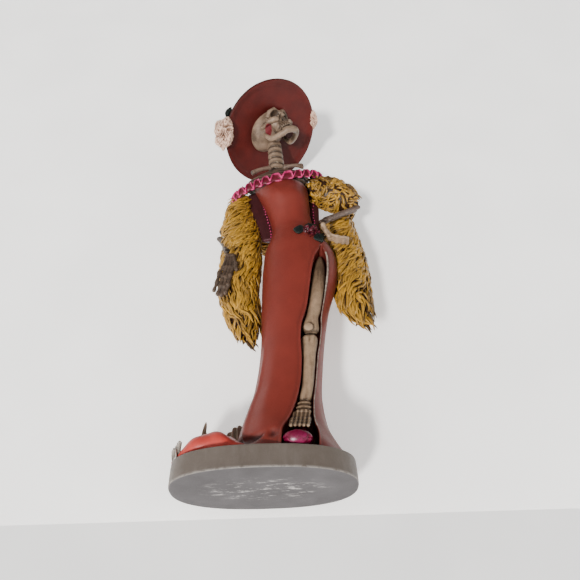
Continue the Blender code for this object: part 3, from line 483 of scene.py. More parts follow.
# a darker copy of the bone cream for skull, jaw and neck: painted shade from the hat
HAT_SHADED_BONE_LOOK = dict(slot="bone_cream", plain=(0.186, 0.127, 0.0862), deep=(0.0261, 0.0151, 0.00889),
                  high=(0.312, 0.234, 0.166), rough=0.50, wash=0.92, dust=0.6, mottle=0.15, size=6,
                  bump=0.22, gloss=0.25)
HAT_SHADED_BONE = painted("bone cream darkened as painted shade under the hat", **HAT_SHADED_BONE_LOOK)
CHEEK = ((4.4, -15.4, 289.8), (2.7, 6.4, 5.0), (0.095, 0.006, 0.009))
ROUGED = painted("bone cream shaded under the hat, with rouged cheek", mark=CHEEK, **HAT_SHADED_BONE_LOOK)
# a darker copy of the bone cream: painted shade on the chest, collar bones and left arm
SHADED_BONE = painted("shaded bone paint", "bone_cream", (0.099, 0.062, 0.0445),
                   (0.0132, 0.0073, 0.0046), (0.1717, 0.1127, 0.0837), rough=0.52, wash=0.9,
                   mottle=0.2, size=4, bump=0.3, gloss=0.25)
# a still darker copy of the bone cream: painted shade on the right arm and hand
DEEP_SHADED_BONE = painted("bone cream darkened as deep painted shade", "bone_cream", (0.0518, 0.033, 0.0223),
                   (0.0072, 0.004, 0.0025), (0.1224, 0.0858, 0.0589), rough=0.52, wash=0.95,
                   dust=0.7, mottle=0.25, size=4, bump=0.3, gloss=0.25)
PINK = painted("ruffle magenta paint", "ruffle_magenta", (0.483, 0.022, 0.13),
               (0.069, 0.003, 0.009), (0.713, 0.13, 0.3), rough=0.40, wash=1.0, dust=0.25,
               mottle=0.25, size=4, gloss=0.3)
SHOE = painted("shoe pink paint", "shoe_pink", (0.116, 0.00104, 0.0208), (0.0306, 0.0004, 0.006),
               (0.257, 0.0132, 0.0832), rough=0.30, wash=0.8, dust=0.8, mottle=0.25, size=3,
               gloss=0.3)
BEIGE = painted("petticoat beige paint", "petticoat_beige", (0.30, 0.235, 0.18),
                (0.03, 0.02, 0.015), (0.50, 0.42, 0.35), rough=0.55, wash=0.9, size=4)
LACE = painted("lace white paint", "lace_white", (0.50, 0.44, 0.38), (0.03, 0.023, 0.018),
               (0.72, 0.68, 0.62), rough=0.55, wash=0.95, size=3)
WHITE = painted("flower white paint", "flower_white", (0.561, 0.3588, 0.2592),
                (0.1105, 0.0507, 0.0288), (0.765, 0.624, 0.5328), rough=0.5, wash=0.85, size=4)
LEAF = painted("leaf green paint", "leaf_green", (0.0042, 0.0078, 0.0066),
               (0.0012, 0.0018, 0.0018), (0.018, 0.03, 0.0252), rough=0.42, wash=0.8, size=3,
               gloss=0.25)
MAROON = painted("lining maroon paint", "band_maroon", (0.030, 0.006, 0.007),
                 (0.010, 0.002, 0.003), (0.12, 0.035, 0.05), rough=0.5, wash=0.8, size=4,
                 gloss=0.2)
ROSE = painted("rose crimson paint", "rose_crimson", (0.036, 0.00112, 0.0036),
               (0.00513, 0.00032, 0.00064), (0.144, 0.0143, 0.0303), rough=0.36, wash=0.95,
               dust=0.7, size=3)
GOLD = painted("boa gold paint", "boa_gold", (0.3519, 0.1786, 0.0144), (0.024, 0.0092, 0.0036),
               (0.4532, 0.2922, 0.09), rough=0.42, wash=1.0, dust=0.45, mottle=0.18, size=4,
               edge=(0.53, 0.66), crease=(0.46, 0.36))
STEEL, _ = painted("rod steel", None, (0.42, 0.42, 0.42), (0.12, 0.11, 0.10), (0.7, 0.7, 0.7),
                   rough=0.3)
STEEL.node_tree.nodes["Principled BSDF"].inputs["Metallic"].default_value = 1.0


# ---------------------------------------------------------------- gown
FOLDS = ((-2.56, 0.10, 1.0), (-2.05, 0.16, 0.5), (2.7, 0.2, 1.3), (1.9, 0.22, 1.4),
         (1.2, 0.2, 1.2), (0.5, 0.2, 1.0), (-0.12, 0.1, 0.5))


def gown_relief(a, z):
    """Folds that gather towards the hem, and the soft bust."""
    a = (a + pi) % (2 * pi) - pi
    low = ease(128, 30, z)
    rise = 0.0
    for middle, width, height in FOLDS:
        rise += height * low * exp(-((a - middle) / width) ** 2)
    rise += 0.35 * ease(46, 16, z) * cos(9 * a + z * 0.12)
    for middle in (-1.95, -1.1):
        rise += 1.1 * exp(-((a - middle) / 0.34) ** 2 - ((z - 215) / 8.5) ** 2)
    return rise + 0.12 * rough_noise(v(cos(a) * 20, sin(a) * 20, z), 16)


def hem_hollow(p):
    """How deep p lies in the creases where the front hem folds under, painted dark there as painted
    shade.
    """
    if p.y > -2:
        return 0.0
    bend = 20.2 + 0.040 * (p.x + 6.0) ** 2
    crescent = exp(-((p.z - bend) / mix(1.5, 3.0, ease(2, -12, p.x))) ** 2) * ease(3, -3, p.x)
    crescent *= ease(-21, -15, p.x)
    dimple = 0.7 * exp(-((p.x - 5.6) / 2.4) ** 2 - ((p.z - 21.4) / 2.6) ** 2)
    return max(crescent, dimple)


def make_gown():
    outer, wall, floor = 170, 6, 10
    rings, tones = [], []
    for z, cx, cy, hx, hy in smooth_rows(GOWN_RINGS, 14):
        _, sx, half = row_at(SLIT_FINE, z)
        half = max(half, 0.12) if z < SLIT_TOP else 0.12
        depth = ease(SLIT_TOP + 0.5, SLIT_TOP - 6, z)
        left = -acos(clamp((sx - half - cx) / hx, -0.97, 0.97))
        right = -acos(clamp((sx + half - cx) / hx, -0.97, 0.97))
        ring, tone = [], []
        for k in range(outer + 1):
            t = k / outer
            a = mix(right, left + 2 * pi, t)
            near = min(a - right, left + 2 * pi - a) * hx
            spot = v(cx + hx * cos(a), cy + hy * sin(a), z)
            hollow = hem_hollow(spot)
            rise = gown_relief(a, z) + 0.5 * exp(-(near / 0.9) ** 2) * depth - 2.4 * hollow
            out = v(cos(a) / hx, sin(a) / hy, 0).normalized()
            ring.append(spot + out * rise)
            # tone: darker towards the foot, a darker band 2 mm outside the slit's lips, and painted
            # shade in the hem creases
            tone.append(clamp(0.10 * ease(30, 14, z) + 0.3 * exp(-((near - 2.0) / 0.8) ** 2) * depth
                              + 0.95 * hollow))
        first, last = ring[0], ring[-1]

        def add_wall(lip, bulge, t):
            ring.append(v(lip.x + bulge * depth * sin(pi * t),
                          mix(lip.y, SLIT_BACK_Y, t * depth), z))
            # painted shade that deepens down the slit's walls
            tone.append(depth * mix(0.15, 0.55, t))
        for k in range(1, wall + 1):
            add_wall(last, -0.5, k / wall)
        for k in range(1, floor):
            t = k / floor
            ring.append(v(mix(last.x, first.x, t),
                          mix(mix(last.y, first.y, t), SLIT_BACK_Y, depth), z))
            # painted shade on the back of the slit
            tone.append(depth * 0.6)
        for k in range(wall):
            add_wall(first, 0.5, 1 - k / wall)
        rings.append(ring)
        tones.append(tone)
    piece("gown_body", Shape().skin(rings, tones), RED, "gown")


def make_slit_trim():
    """Bead down the slit's outer edge: pale at the top as a painted highlight, thin and dark
    further down.
    """
    points, radii, tones = [], [], []
    for k in range(141):
        z = mix(28, 156, k / 140)
        _, cx, half = row_at(SLIT_FINE, z)
        x = cx + half + 0.7
        pale = ease(112, 134, z)
        points.append(v(x, gown_y(x, z, grow=mix(0.35, 1.0, pale)), z))
        radii.append(mix(0.34, 0.58, pale) + 0.06 * sin(k * 1.9) * pale)
        # the pale top is a painted highlight along the slit's lip
        tones.append(mix(1.0, 0.62, pale) + 0.15 * sin(k * 0.31) * pale)
    piece("slit_bead", Shape().rod(points, radii, 10, tones=tones), BEIGE, "slit_trim")


def make_train():
    """Cloth that runs out from the hem, low beside it, then in one long lump to the rim."""
    rows = [(-4, -6, 16, 13, 5), (-10, -7, 15.6, 14, 4.2), (-15, -7.5, 16.6, 14, 5.6),
            (-21, -7.5, 18.6, 14.5, 8.4), (-27, -7, 19.6, 14.5, 8.9), (-33, -6, 18.6, 13.5, 8.0),
            (-39, -4, 16.8, 11.5, 6.0), (-44, -2, 15.6, 9, 4.8), (-48.6, -0.5, 14.6, 5.5, 2.6)]
    rings = swept(rows, 96, v(0, 1, 0), 14)
    mesh = mesh_of("train_cloth", Shape().skin(rings))

    def rise(p, n):
        fold = sin(p.y * 0.42 + 0.10 * p.x) * 0.45 + sin(p.x * 0.50 + p.y * 0.3) * 0.5
        return fold * ease(14, 18, p.z) + 0.1 * rough_noise(p, 8)
    # tone: darker towards the plinth, and painted shade in a band at x = -11 under the hem's fold
    relief(mesh, rise, lambda p, n: 0.4 * ease(17, 13, p.z) + 0.5 * exp(-((p.x + 11) / 3.0) ** 2))
    rest_on_plinth(mesh)
    piece("train_cloth", mesh, LIT_TRAIN_RED, "train")


def frill(points, out, height, waves, swing, thick=0.5, rows=8):
    """Closed ruffled band that stands up from a line of points and swings in and out."""
    count = len(points)
    rings, tones = [], []
    for i, p in enumerate(points):
        t = i / (count - 1)
        o = out[i]
        ring, tone = [], []
        for side in (1, -1):
            for j in range(rows + 1):
                s = j / rows if side == 1 else 1 - j / rows
                flare = swing * s * sin(2 * pi * waves * t + 0.9 * s)
                ring.append(p + v(0, 0, height * s * (1 + 0.12 * sin(2 * pi * waves * t * 1.7)))
                            + o * (flare + side * thick * (1 - 0.5 * s)))
                tone.append(clamp(0.55 - 0.6 * s + 0.35 * (1 - cos(2 * pi * waves * t + 0.9)) / 2))
        rings.append(ring)
        tones.append(tone)
    return rings, tones


def make_lace():
    """Frilly edging round the end of the train, along the plinth's rim."""
    shape = Shape()
    for lift, reach, phase, tall in ((0.0, 1.3, 0.0, 6.2), (0.4, 3.2, 1.4, 9.0)):
        points, out = [], []
        for k in range(241):
            a = radians(mix(140, 203, k / 240))
            points.append(rim_point(a, reach, BASE_HEIGHT + 0.5 + lift))
            out.append(v(cos(a), sin(a) * 1.5, 0).normalized())
        rings, tones = frill(points, out, tall, 13 + phase, 1.2, 0.42)
        shape.skin(rings, tones)
    piece("train_lace_frill", shape, LACE, "train_lace")


def make_petticoat():
    """Pale pleated ruffle that fans up behind the train, with one corner turned up in a spike."""
    shape = Shape()
    for lift, wide in ((0.0, 1.0), (2.2, 0.84)):
        points, out = [], []
        for k in range(241):
            t = k / 240
            points.append(v(mix(-11, -41, t), 15.5 - 4.5 * t + lift, BASE_HEIGHT + 0.6))
            out.append(v(0.25, 1, 0).normalized())
        rings, tones = frill(points, out, 1.0, 10, 1.6, 0.5, 16)
        for i, ring in enumerate(rings):
            x = points[i].x
            crest = mix(11.0, 31.0, ease(-35, -15, x)) + 22.0 * exp(-((x + 35.4) / 1.8) ** 2)
            crest *= wide * (1 + 0.03 * sin(2 * pi * 10 * i / 240))
            for j, p in enumerate(ring):
                share = min(1.0, (p.z - BASE_HEIGHT - 0.6) * 1.13)
                p.z = BASE_HEIGHT + 0.6 + share * crest
                tones[i][j] = 0.2 * tones[i][j]
        shape.skin(rings, tones)
    piece("petticoat_frill", shape, BEIGE, "petticoat_ruffle")


# ---------------------------------------------------------------- collar, chest and neck
def collar_centre(a):
    return v(10.8 + 32.4 * cos(a), 0.8 + 17.2 * sin(a), 236.5 + 11.0 * cos(a) + 6.5 * sin(a))


def make_collar():
    """Ruffle whose bright crest snakes up and down over a dark ground."""
    lobes = 27
    rows = []
    for a in turns(900):
        wave = lobes * a + 0.8 * sin(3 * a) + 0.6 * sin(7 * a + 1)
        out = v(cos(a), sin(a) * 1.2, 0).normalized()
        centre = collar_centre(a)
        row = []
        for b in turns(44):
            # the crest's place round the section, and the small hem it curls into
            turn = 0.35 + (0.95 + 0.25 * sin(5 * a)) * sin(wave) + 0.25 * sin(2 * wave + 1)
            gap = (b - turn + pi) % (2 * pi) - pi
            crest = exp(-(gap / (0.42 + 0.12 * sin(9 * a + 2))) ** 2)
            hem = exp(-((b - 1.62) / 0.34) ** 2) + exp(-((b - 2 * pi + 1.45) / 0.34) ** 2)
            hem *= 0.5 + 0.5 * cos(wave + (0.9 if b < pi else 2.6))
            rise = 1.6 * crest + 1.2 * hem - 0.9
            size = v(2.7 + rise, 0, 3.9 + rise)
            blotch = 0.45 * rough_noise(v(centre.x, centre.y + 9 * b, centre.z), 3.4)
            row.append((centre + out * size.x * cos(b) + v(0, 0, size.z * sin(b)),
                        clamp(1.15 - 1.25 * max(crest, hem) + blotch)))
        rows.append(row)
    piece("collar_frill", Shape().woven(rows, loop=True), PINK, "collar_ruffle")


def make_chest():
    rings = []
    for z, cx, cy, hx, hy, slope in smooth_rows(CHEST_RINGS, 10):
        rings.append([v(cx + hx * cos(a), cy + hy * sin(a), z + slope * hx * cos(a))
                      for a in turns(96)])

    def rib(p):
        return sin((p.z - 0.12 * abs(p.x - 10.5)) * 1.5)
    mesh = mesh_of("chest_bone", Shape().skin(rings))
    relief(mesh, lambda p, n: 0.3 * rib(p) + 0.2 * rough_noise(p, 5),
           lambda p, n: clamp(0.45 - 0.4 * rib(p) + 0.3 * rough_noise(p, 6)))
    piece("chest_bone", mesh, SHADED_BONE, "upper_chest")
    for name, shift in (("left", 1), ("right", -1)):
        inner = v(10.6 + 4.2 * shift, -8.6, 250.6)
        outer = v(11.0 + 20.4 * shift, -8.4, 248.4 + 3.4 * shift)
        mesh = long_bone("clavicle_" + name, inner, outer, 1.5, 2.1, v(0, -1.6, 0), 1.5)
        piece("clavicle_" + name, mesh, SHADED_BONE, "collar_bone_" + name)


def make_neck():
    along = (ROD_TOP - ROD_BEND).normalized()
    turn = along.to_track_quat("Z", "Y").to_matrix().to_4x4()
    half = NECK_PITCH / 2 - 0.12
    profile = [(0.0, 1.0), (0.72, 1.0), (0.88, 0.93), (0.98, 0.72), (1.0, 0.4), (0.955, 0.1),
               (0.94, -0.1), (0.97, -0.4), (1.0, -0.68), (0.92, -0.92), (0.76, -1.0), (0.0, -1.0)]
    for k in range(NECK_COUNT):
        centre = ROD_BEND + along * (NECK_START + NECK_PITCH * (k + 0.5))
        wide = NECK_RADIUS * (1.0 - 0.03 * k)
        place = Matrix.Translation(centre) @ turn @ Matrix.Rotation(radians(7 - 3 * k), 4, "Y")
        rings, tones = [], []
        for r, h in smooth_rows(profile, 4):
            r = max(r, 0.01)
            rings.append([place @ v(wide * r * cos(a) * (1 + 0.02 * cos(3 * a)),
                                    wide * r * sin(a), h * half) for a in turns(64)])
            tones.append(clamp(0.22 + ease(0.45, 0.95, abs(h)) * 1.1))
        piece("neck_bone_%d" % (k + 1), Shape().skin(rings, tones), HAT_SHADED_BONE,
              "neck_vertebra_%d" % (k + 1), rise=bumps(0.12, 2.5))


# ---------------------------------------------------------------- bones
def long_bone(name, a, b, shaft, knob, bow=v(0, 0, 0), lobes=2, grime=0.5):
    """Long bone from a to b: a waisted shaft, and a two-lobed knob at each end."""
    along = b - a
    length = along.length
    swell = [(0.0, 0.0), (0.012, 0.45), (0.03, 0.8), (0.07, 1.0), (0.12, 0.92), (0.18, 0.55),
             (0.27, 0.2), (0.4, 0.03), (0.5, 0.0), (0.6, 0.03), (0.73, 0.17), (0.82, 0.5),
             (0.88, 0.88), (0.93, 1.0), (0.97, 0.8), (0.988, 0.45), (1.0, 0.0)]
    rings = []
    guide = v(1, 0, 0) if abs(along.normalized().x) < 0.8 else v(0, 0, 1)
    across = (guide - along * guide.dot(along) / length ** 2).normalized()
    up = along.normalized().cross(across)
    for t, s in smooth_rows(swell, 5):
        t, s = clamp(t), clamp(s, 0.0, 1.05)
        r = (shaft + (knob - shaft) * s) if 0.03 < t < 0.97 else knob * max(0.05, s)
        end = ease(0.35, 0.05, min(t, 1 - t))
        centre = a + along * t + bow * sin(pi * t)
        ring = []
        for g in turns(18):
            lobe = 1 + 0.16 * end * cos(lobes * g)
            ring.append(centre + across * r * lobe * cos(g) + up * r * (lobe - 0.06 * end) * sin(g))
        rings.append(ring)
    mesh = mesh_of(name, Shape().skin(rings))

    def paint_tone(p, n):
        t = clamp((p - a).dot(along) / length ** 2)
        ends = ease(0.10, 0.0, min(t, 1 - t))
        neck = exp(-((min(t, 1 - t) - 0.17) / 0.035) ** 2) * 0.35
        streak = rough_noise(v(p.x * 1.6, p.y * 1.6, p.z * 0.22), 2.2)
        return clamp(0.9 * ends + neck + grime * (0.15 + 0.5 * streak))
    return relief(mesh, lambda p, n: 0.10 * rough_noise(v(p.x, p.y, p.z * 0.4), 2.4), paint_tone)


def make_arms():
    for side, (shoulder, elbow, wrist) in ARMS.items():
        upper, lower = (elbow - shoulder).normalized(), (wrist - elbow).normalized()
        apart = lower.cross(v(0, 0, 1)).normalized() * 1.9
        start = elbow + lower * 3.9
        bones = (("humerus_", shoulder, elbow - upper, 2.0, 3.5),
                 ("ulna_", start + apart, wrist + apart * 0.9, 1.75, 2.25),
                 ("radius_", start - apart, wrist - apart * 0.9, 1.75, 2.2))
        for stem, a, b, shaft, knob in bones:
            mesh = long_bone(stem + side + "_bone", a, b, shaft, knob, grime=0.7)
            piece(stem + side + "_bone", mesh, SHADED_BONE if side == "left" else DEEP_SHADED_BONE,
                  stem + side)


def add_finger(shape, joints, radius):
    """Finger bones: a waisted bone between each two joints, with a knuckle on each joint."""
    for a, b in zip(joints, joints[1:]):
        points = [a.lerp(b, t) for t in (0.0, 0.1, 0.25, 0.5, 0.75, 0.9, 1.0)]
        radii = [radius * s for s in (0.75, 1.05, 0.82, 0.7, 0.82, 1.02, 0.75)]
        shape.rod(points, radii, 12)
        shape.ball(a, v(1, 1, 1) * radius * 1.12, segments=12, rings=8)
    shape.ball(joints[-1], v(1, 1, 1) * radius * 0.9, segments=12, rings=8)


def make_hand(name, node, wrist, palm_end, spread, fingers, thumb, paint, stout=1.42):
    """Palm bones and wrist from spread to spread, four fingers and a thumb, fused into one."""
    along, side, half = palm_end - wrist, spread.normalized(), spread.length
    normal = along.cross(spread).normalized()
    shape = Shape()
    for k in range(4):
        root = palm_end + side * half * (0.72 - 0.48 * k) - along * 0.08
        heel = wrist + side * half * (0.42 - 0.28 * k)
        shape.rod([heel, heel.lerp(root, 0.5) - normal * 0.2, root], [1.5, 1.15, 1.45], 12)
        add_finger(shape, [root] + fingers[k], stout - 0.08 * k)
    for k in range(3):
        shape.ball(wrist + side * half * (0.4 - 0.4 * k) + along * 0.06, v(1.9, 1.9, 1.9),
                   segments=12, rings=8)
    root = wrist + along * 0.25 + side * half * 0.7
    add_finger(shape, [root] + thumb, 1.4)
    shape.skin(swept([(*(wrist + along * t), half * w, 0.9) for t, w in
                      ((0.0, 0.5), (0.4, 0.75), (0.8, 0.85))], 14, side, 2))
    mesh = fused(name, shape, 0.30)

    def paint_tone(p, n):
        # painted shade on the left hand's fingers that lie further back
        back_shade = ease(-17.5, -12.0, p.y) if node == "hand_left" else 0.0
        return clamp(0.35 * rough_noise(p, 2.5) - 0.05 + 0.25 * back_shade)
    piece(name, mesh, paint, node, rise=bumps(0.08, 1.8), tone=paint_tone)


def make_hands():
    fingers = []
    for k in range(4):
        x, drop = -21.6 - 2.5 * k, (0.0, 1.5, 0.5, -2.5)[k]
        fingers.append([v(x - 0.6, -8.2, 143.5 - drop), v(x - 1.8, -7.6, 136.0 - drop),
                        v(x - 3.6, -6.4, 130.0 - drop)])
    make_hand("hand_right_bones", "hand_right", v(-22.8, -6.8, 163.0), v(-23.8, -8.0, 150.0),
              v(4.6, 0.6, 0), fingers, [v(-18.6, -9.6, 153), v(-18.0, -10.0, 147)], DEEP_SHADED_BONE,
              1.75)
    fingers = []
    for k in range(4):
        y = -14.2 - 1.75 * k
        fingers.append([v(50.8, y + 1.2, 167.4), v(55.2, y + 3.6, 168.6), v(58.6, y + 6.2, 170.4)])
    make_hand("hand_left_bones", "hand_left", v(41.6, -17.6, 178.6), v(46.2, -16.6, 168.0),
              v(0.3, 3.5, 0.4), fingers, [v(43.4, -20.6, 170.6), v(44.8, -20.8, 165.6)], BONE)


def leg_bone(name, rows, low_knob, high_knob):
    """Bone lofted through rows, with a grooved knob where low_knob or high_knob gives a height."""
    mesh = mesh_of(name, Shape().skin(swept(rows, 48, v(1, 0, 0), 10)))
    ends = [z for z in (low_knob, high_knob) if z]

    def knob(p):
        return max(exp(-((p.z - z) / 4.2) ** 2) for z in ends)

    def middle(p):
        return row_at(sorted([(r[2], r[0]) for r in rows]), p.z)[1]

    def rise(p, n):
        across = p.x - middle(p)
        groove = exp(-(across / 1.3) ** 2) * max(0.0, -n.y)
        return -0.8 * knob(p) * groove + 0.12 * rough_noise(v(p.x, p.y, p.z * 0.35), 2.6)

    def paint_tone(p, n):
        near = knob(p)
        side = abs(n.x) ** 3
        streak = rough_noise(v(p.x * 1.7, p.y * 1.7, p.z * 0.16), 2.4)
        # painted shade on the femur's top, where it goes up into the slit
        top = ease(108, 146, p.z) * 0.62
        tip = max([exp(-((p.z - z) / 1.2) ** 2) for z in (rows[0][2], rows[-1][2])])
        return clamp(0.06 + 0.42 * side + 0.38 * max(0, streak) + top + 0.7 * tip
                     + 0.35 * near * exp(-((p.x - middle(p)) / 0.9) ** 2))
    return relief(mesh, rise, paint_tone)


def make_leg():
    piece("femur_bone", leg_bone("femur_bone", FEMUR, 97.0, None), BONE, "femur")
    piece("tibia_bone", leg_bone("tibia_bone", TIBIA, 86.5, 47.0), BONE, "tibia")
    cap = mesh_of("kneecap_bone", Shape().ball(KNEECAP, v(3.1, 1.7, 3.2), segments=40, rings=24))
    relief(cap, lambda p, n: 0.10 * rough_noise(p, 2.0), lambda p, n:
           clamp(1.3 * ease(2.5, 3.3, v(p.x - KNEECAP.x, 0, p.z - KNEECAP.z).length)))
    piece("kneecap_bone", cap, BONE, "kneecap")


def make_foot():
    """Ankle rings, an arched instep and five slim toes of two bones each."""
    shape = Shape()
    shape.skin(swept([(23.4, -12.0, 45.0, 3.0, 3.0), (23.0, -13.0, 41.2, 3.7, 3.4),
                      (22.2, -15.4, 36.4, 4.0, 2.6), (21.4, -18.0, 32.2, 4.6, 1.7),
                      (20.8, -19.6, 29.8, 4.8, 1.0)], 24, v(1, 0, 0), 4))
    for z, y, wide in ((43.6, -13.0, 3.5), (40.6, -14.0, 3.9), (37.4, -15.6, 4.2)):
        arc = [v(23.2 + wide * sin(a) - 0.14 * (43 - z), y - 1.9 * cos(a), z - 0.5 * cos(a))
               for a in (-1.3, -0.8, -0.3, 0.3, 0.8, 1.3)]
        shape.rod(arc, [0.8, 1.15, 1.25, 1.25, 1.15, 0.8], 12)
    for k in range(5):
        spread = (k - 2) * 2.3
        heel = v(21.6 + spread * 0.8, -16.6, 36.0)
        root = v(20.8 + spread, -20.0, 30.6)
        tip = v(19.9 + spread, -25.2 + 0.3 * abs(k - 1), 25.2)
        add_finger(shape, [heel, root], 1.12)
        add_finger(shape, [root, root.lerp(tip, 0.52), tip], 1.18)
    mesh = fused("foot_bones", shape, 0.26, smooth=1)

    def paint_tone(p, n):
        across = (p.x - 20.8 - 0.13 * (p.z - 30)) / 2.3
        groove = abs(across - round(across)) * 2
        ring = 0.5 + 0.5 * cos((p.z - 43.6) * 2 * pi / 3.1)
        high = ease(36.5, 38.5, p.z)
        return clamp(0.24 + (1 - high) * 1.1 * ease(0.25, 0.75, groove) + high * 0.8 * (1 - ring)
                     + 0.3 * rough_noise(p, 2.0))
    piece("foot_bones", mesh, BONE, "foot", tone=paint_tone)


def make_shoe():
    rows = [(18.6, -28.2, 17.0, 5.4, 3.4), (18.6, -26.0, 17.6, 7.6, 4.2),
            (18.8, -20.5, 18.4, 8.0, 4.7), (19.2, -15.4, 20.6, 6.6, 4.4),
            (20.4, -10.2, 26.4, 5.0, 2.6), (21.6, -6.2, 33.0, 4.0, 1.6)]
    mesh = mesh_of("sandal", Shape().skin(swept(rows, 64, v(1, 0, 0), 12)))

    def rise(p, n):
        welt = exp(-((p.z - 16.9) / 0.5) ** 2) * ease(-14, -20, p.y)
        return -0.5 * welt + 0.12 * rough_noise(v(p.x * 2, p.y, p.z), 3)
    relief(mesh, rise,
           lambda p, n: clamp(0.3 + 0.9 * rough_noise(v(p.x * 2.2, p.y, p.z * 0.5), 3.5)))
    rest_on_plinth(mesh)
    piece("sandal", mesh, SHOE, "shoe")


# ---------------------------------------------------------------- head
def make_skull():
    """Cranium, brows, cheek bones and upper jaw in one skin, less the sockets and the nose."""
    solid, cut = Shape(), Shape()
    solid.ball(v(0, 3.5, 4), v(14.2, 17.0, 14.5), segments=48, rings=32)
    solid.ball(v(-2.2, 5.5, 2.6), v(14.4, 16.6, 14.2), segments=48, rings=32)
    solid.ball(v(0, -8.6, -3.0), v(9.2, 6.6, 9.2), segments=32, rings=20)
    solid.ball(v(0, -9.6, -10.6), v(6.6, 6.4, 3.8), segments=28, rings=16)
    for side in (-1, 1):
        brow = [v(1.2 * side, -14.8, 2.2), v(4.6 * side, -15.2, 3.4), v(8.4 * side, -12.8, 2.4),
                v(10.2 * side, -9.6, -0.6)]
        solid.rod(brow, [1.5, 1.9, 1.8, 1.5], 14)
        cheek = [v(5.4 * side, -14.0, -6.6), v(8.6 * side, -12.6, -5.8), v(11.2 * side, -8.6, -4.8),
                 v(12.2 * side, -3.0, -4.4), v(12.8 * side, 2.0, -4.0)]
        solid.rod(cheek, [1.9, 2.2, 1.9, 1.4, 1.2], 14)
        cut.ball(v(4.7 * side, -14.6, -1.6), v(3.5, 5.6, 3.5), segments=24, rings=16)
        cut.ball(v(0.95 * side, -16.4, -7.4), v(1.1, 3.4, 2.3), segments=16, rings=12)
    solid.rod([v(0, -15.4, 1.6), v(0, -16.4, -2.0), v(0, -16.8, -4.8)], [1.6, 1.1, 0.9], 12)
    cut.ball(v(0, -16.2, -6.0), v(0.9, 3.2, 1.6), segments=16, rings=12)
    for k in range(10):
        a = radians(mix(-62, 62, k / 9))
        root = v(6.0 * sin(a), -9.8 - 6.2 * cos(a), -11.6)
        solid.rod([root, root + v(0, -0.25, -1.4), root + v(0, -0.3, -2.8)], [0.75, 0.72, 0.5], 10)
    solid.move(HEAD)
    cut.move(HEAD)
    mesh = fused("skull_bone", solid, 0.36, cut=cut)
    local = HEAD.inverted()

    def paint_tone(p, n):
        q = local @ p
        dark = 0.0
        for side in (-1, 1):
            dark = max(dark, ease(1.25, 0.80, (q - v(4.7 * side, -13.6, -1.6)).length / 4.0))
        nose = ease(1.25, 0.8, v(q.x / 2.2, 0, (q.z + 7.0) / 3.0).length) * ease(-12, -14, q.y)
        teeth = ease(-8.4, -10.5, q.z) * (0.45 + 0.4 * sin(q.x * 4.2)) * ease(-8, -11, q.y)
        dark = max(dark, nose, teeth)
        return clamp(dark + 0.25 + 0.55 * rough_noise(q, 7))
    piece("skull_bone", mesh, ROUGED, "skull", rise=bumps(0.10, 3.0), tone=paint_tone)


def make_jaw():
    half = [(10.9, 0.4, -7.2), (10.6, -0.2, -11), (9.8, -2.0, -15.4), (8.2, -7.6, -18.2),
            (5.4, -13.4, -19.2), (2.2, -15.9, -19.4)]
    wide = [1.3, 1.9, 2.3, 2.2, 2.4, 2.7]
    rows = smooth_rows([(*p, r) for p, r in zip(half, wide)]
                       + [(-x, y, z, r) for (x, y, z), r in zip(reversed(half), reversed(wide))], 5)
    solid = Shape()
    solid.rod([v(*r[:3]) for r in rows], [(r[3], r[3] * 0.9) for r in rows], 20)
    for k in range(9):
        a = radians(mix(-56, 56, k / 8))
        root = v(6.6 * sin(a), -9.4 - 5.8 * cos(a), -18.0)
        solid.rod([root, root + v(0, -0.1, 1.6), root + v(0, 0.1, 3.0)], [0.8, 0.75, 0.5], 10)
    solid.move(HEAD)
    mesh = fused("jaw_bone", solid, 0.32)
    local = HEAD.inverted()

    def paint_tone(p, n):
        q = local @ p
        inside = ease(0.2, 0.9, -n.dot((HEAD.to_3x3() @ v(q.x, q.y + 6, 0)).normalized()))
        return clamp(0.5 * inside + 0.15 + 0.5 * rough_noise(q, 4))
    piece("jaw_bone", mesh, HAT_SHADED_BONE, "jaw", rise=bumps(0.08, 2.5), tone=paint_tone)


def hat_profile():
    """Crown and drooping brim, from the top of the crown round the rim to the inside of the top."""
    r, rim = CROWN_RADIUS, BRIM_RADIUS
    outer = [(0.02, 26.0), (r * 0.35, 25.8), (r * 0.62, 24.6), (r * 0.84, 21.6), (r * 0.97, 16.5),
             (r + 0.3, 10.0), (r + 0.6, 5.6), (r + 1.8, 4.2), (r + 4.4, 3.6), (rim * 0.82, 2.6),
             (rim * 0.92, 1.8), (rim * 0.985, 1.2), (rim, 0.4)]
    inner = [(rim * 0.99, -0.7), (rim * 0.95, -0.8), (rim * 0.90, -0.2), (rim * 0.84, 0.5),
             (r + 6.0, 1.3), (r + 1.0, 2.0), (r - 5.0, 3.0), (r * 0.5, 4.6), (0.02, 5.4)]
    return outer + inner


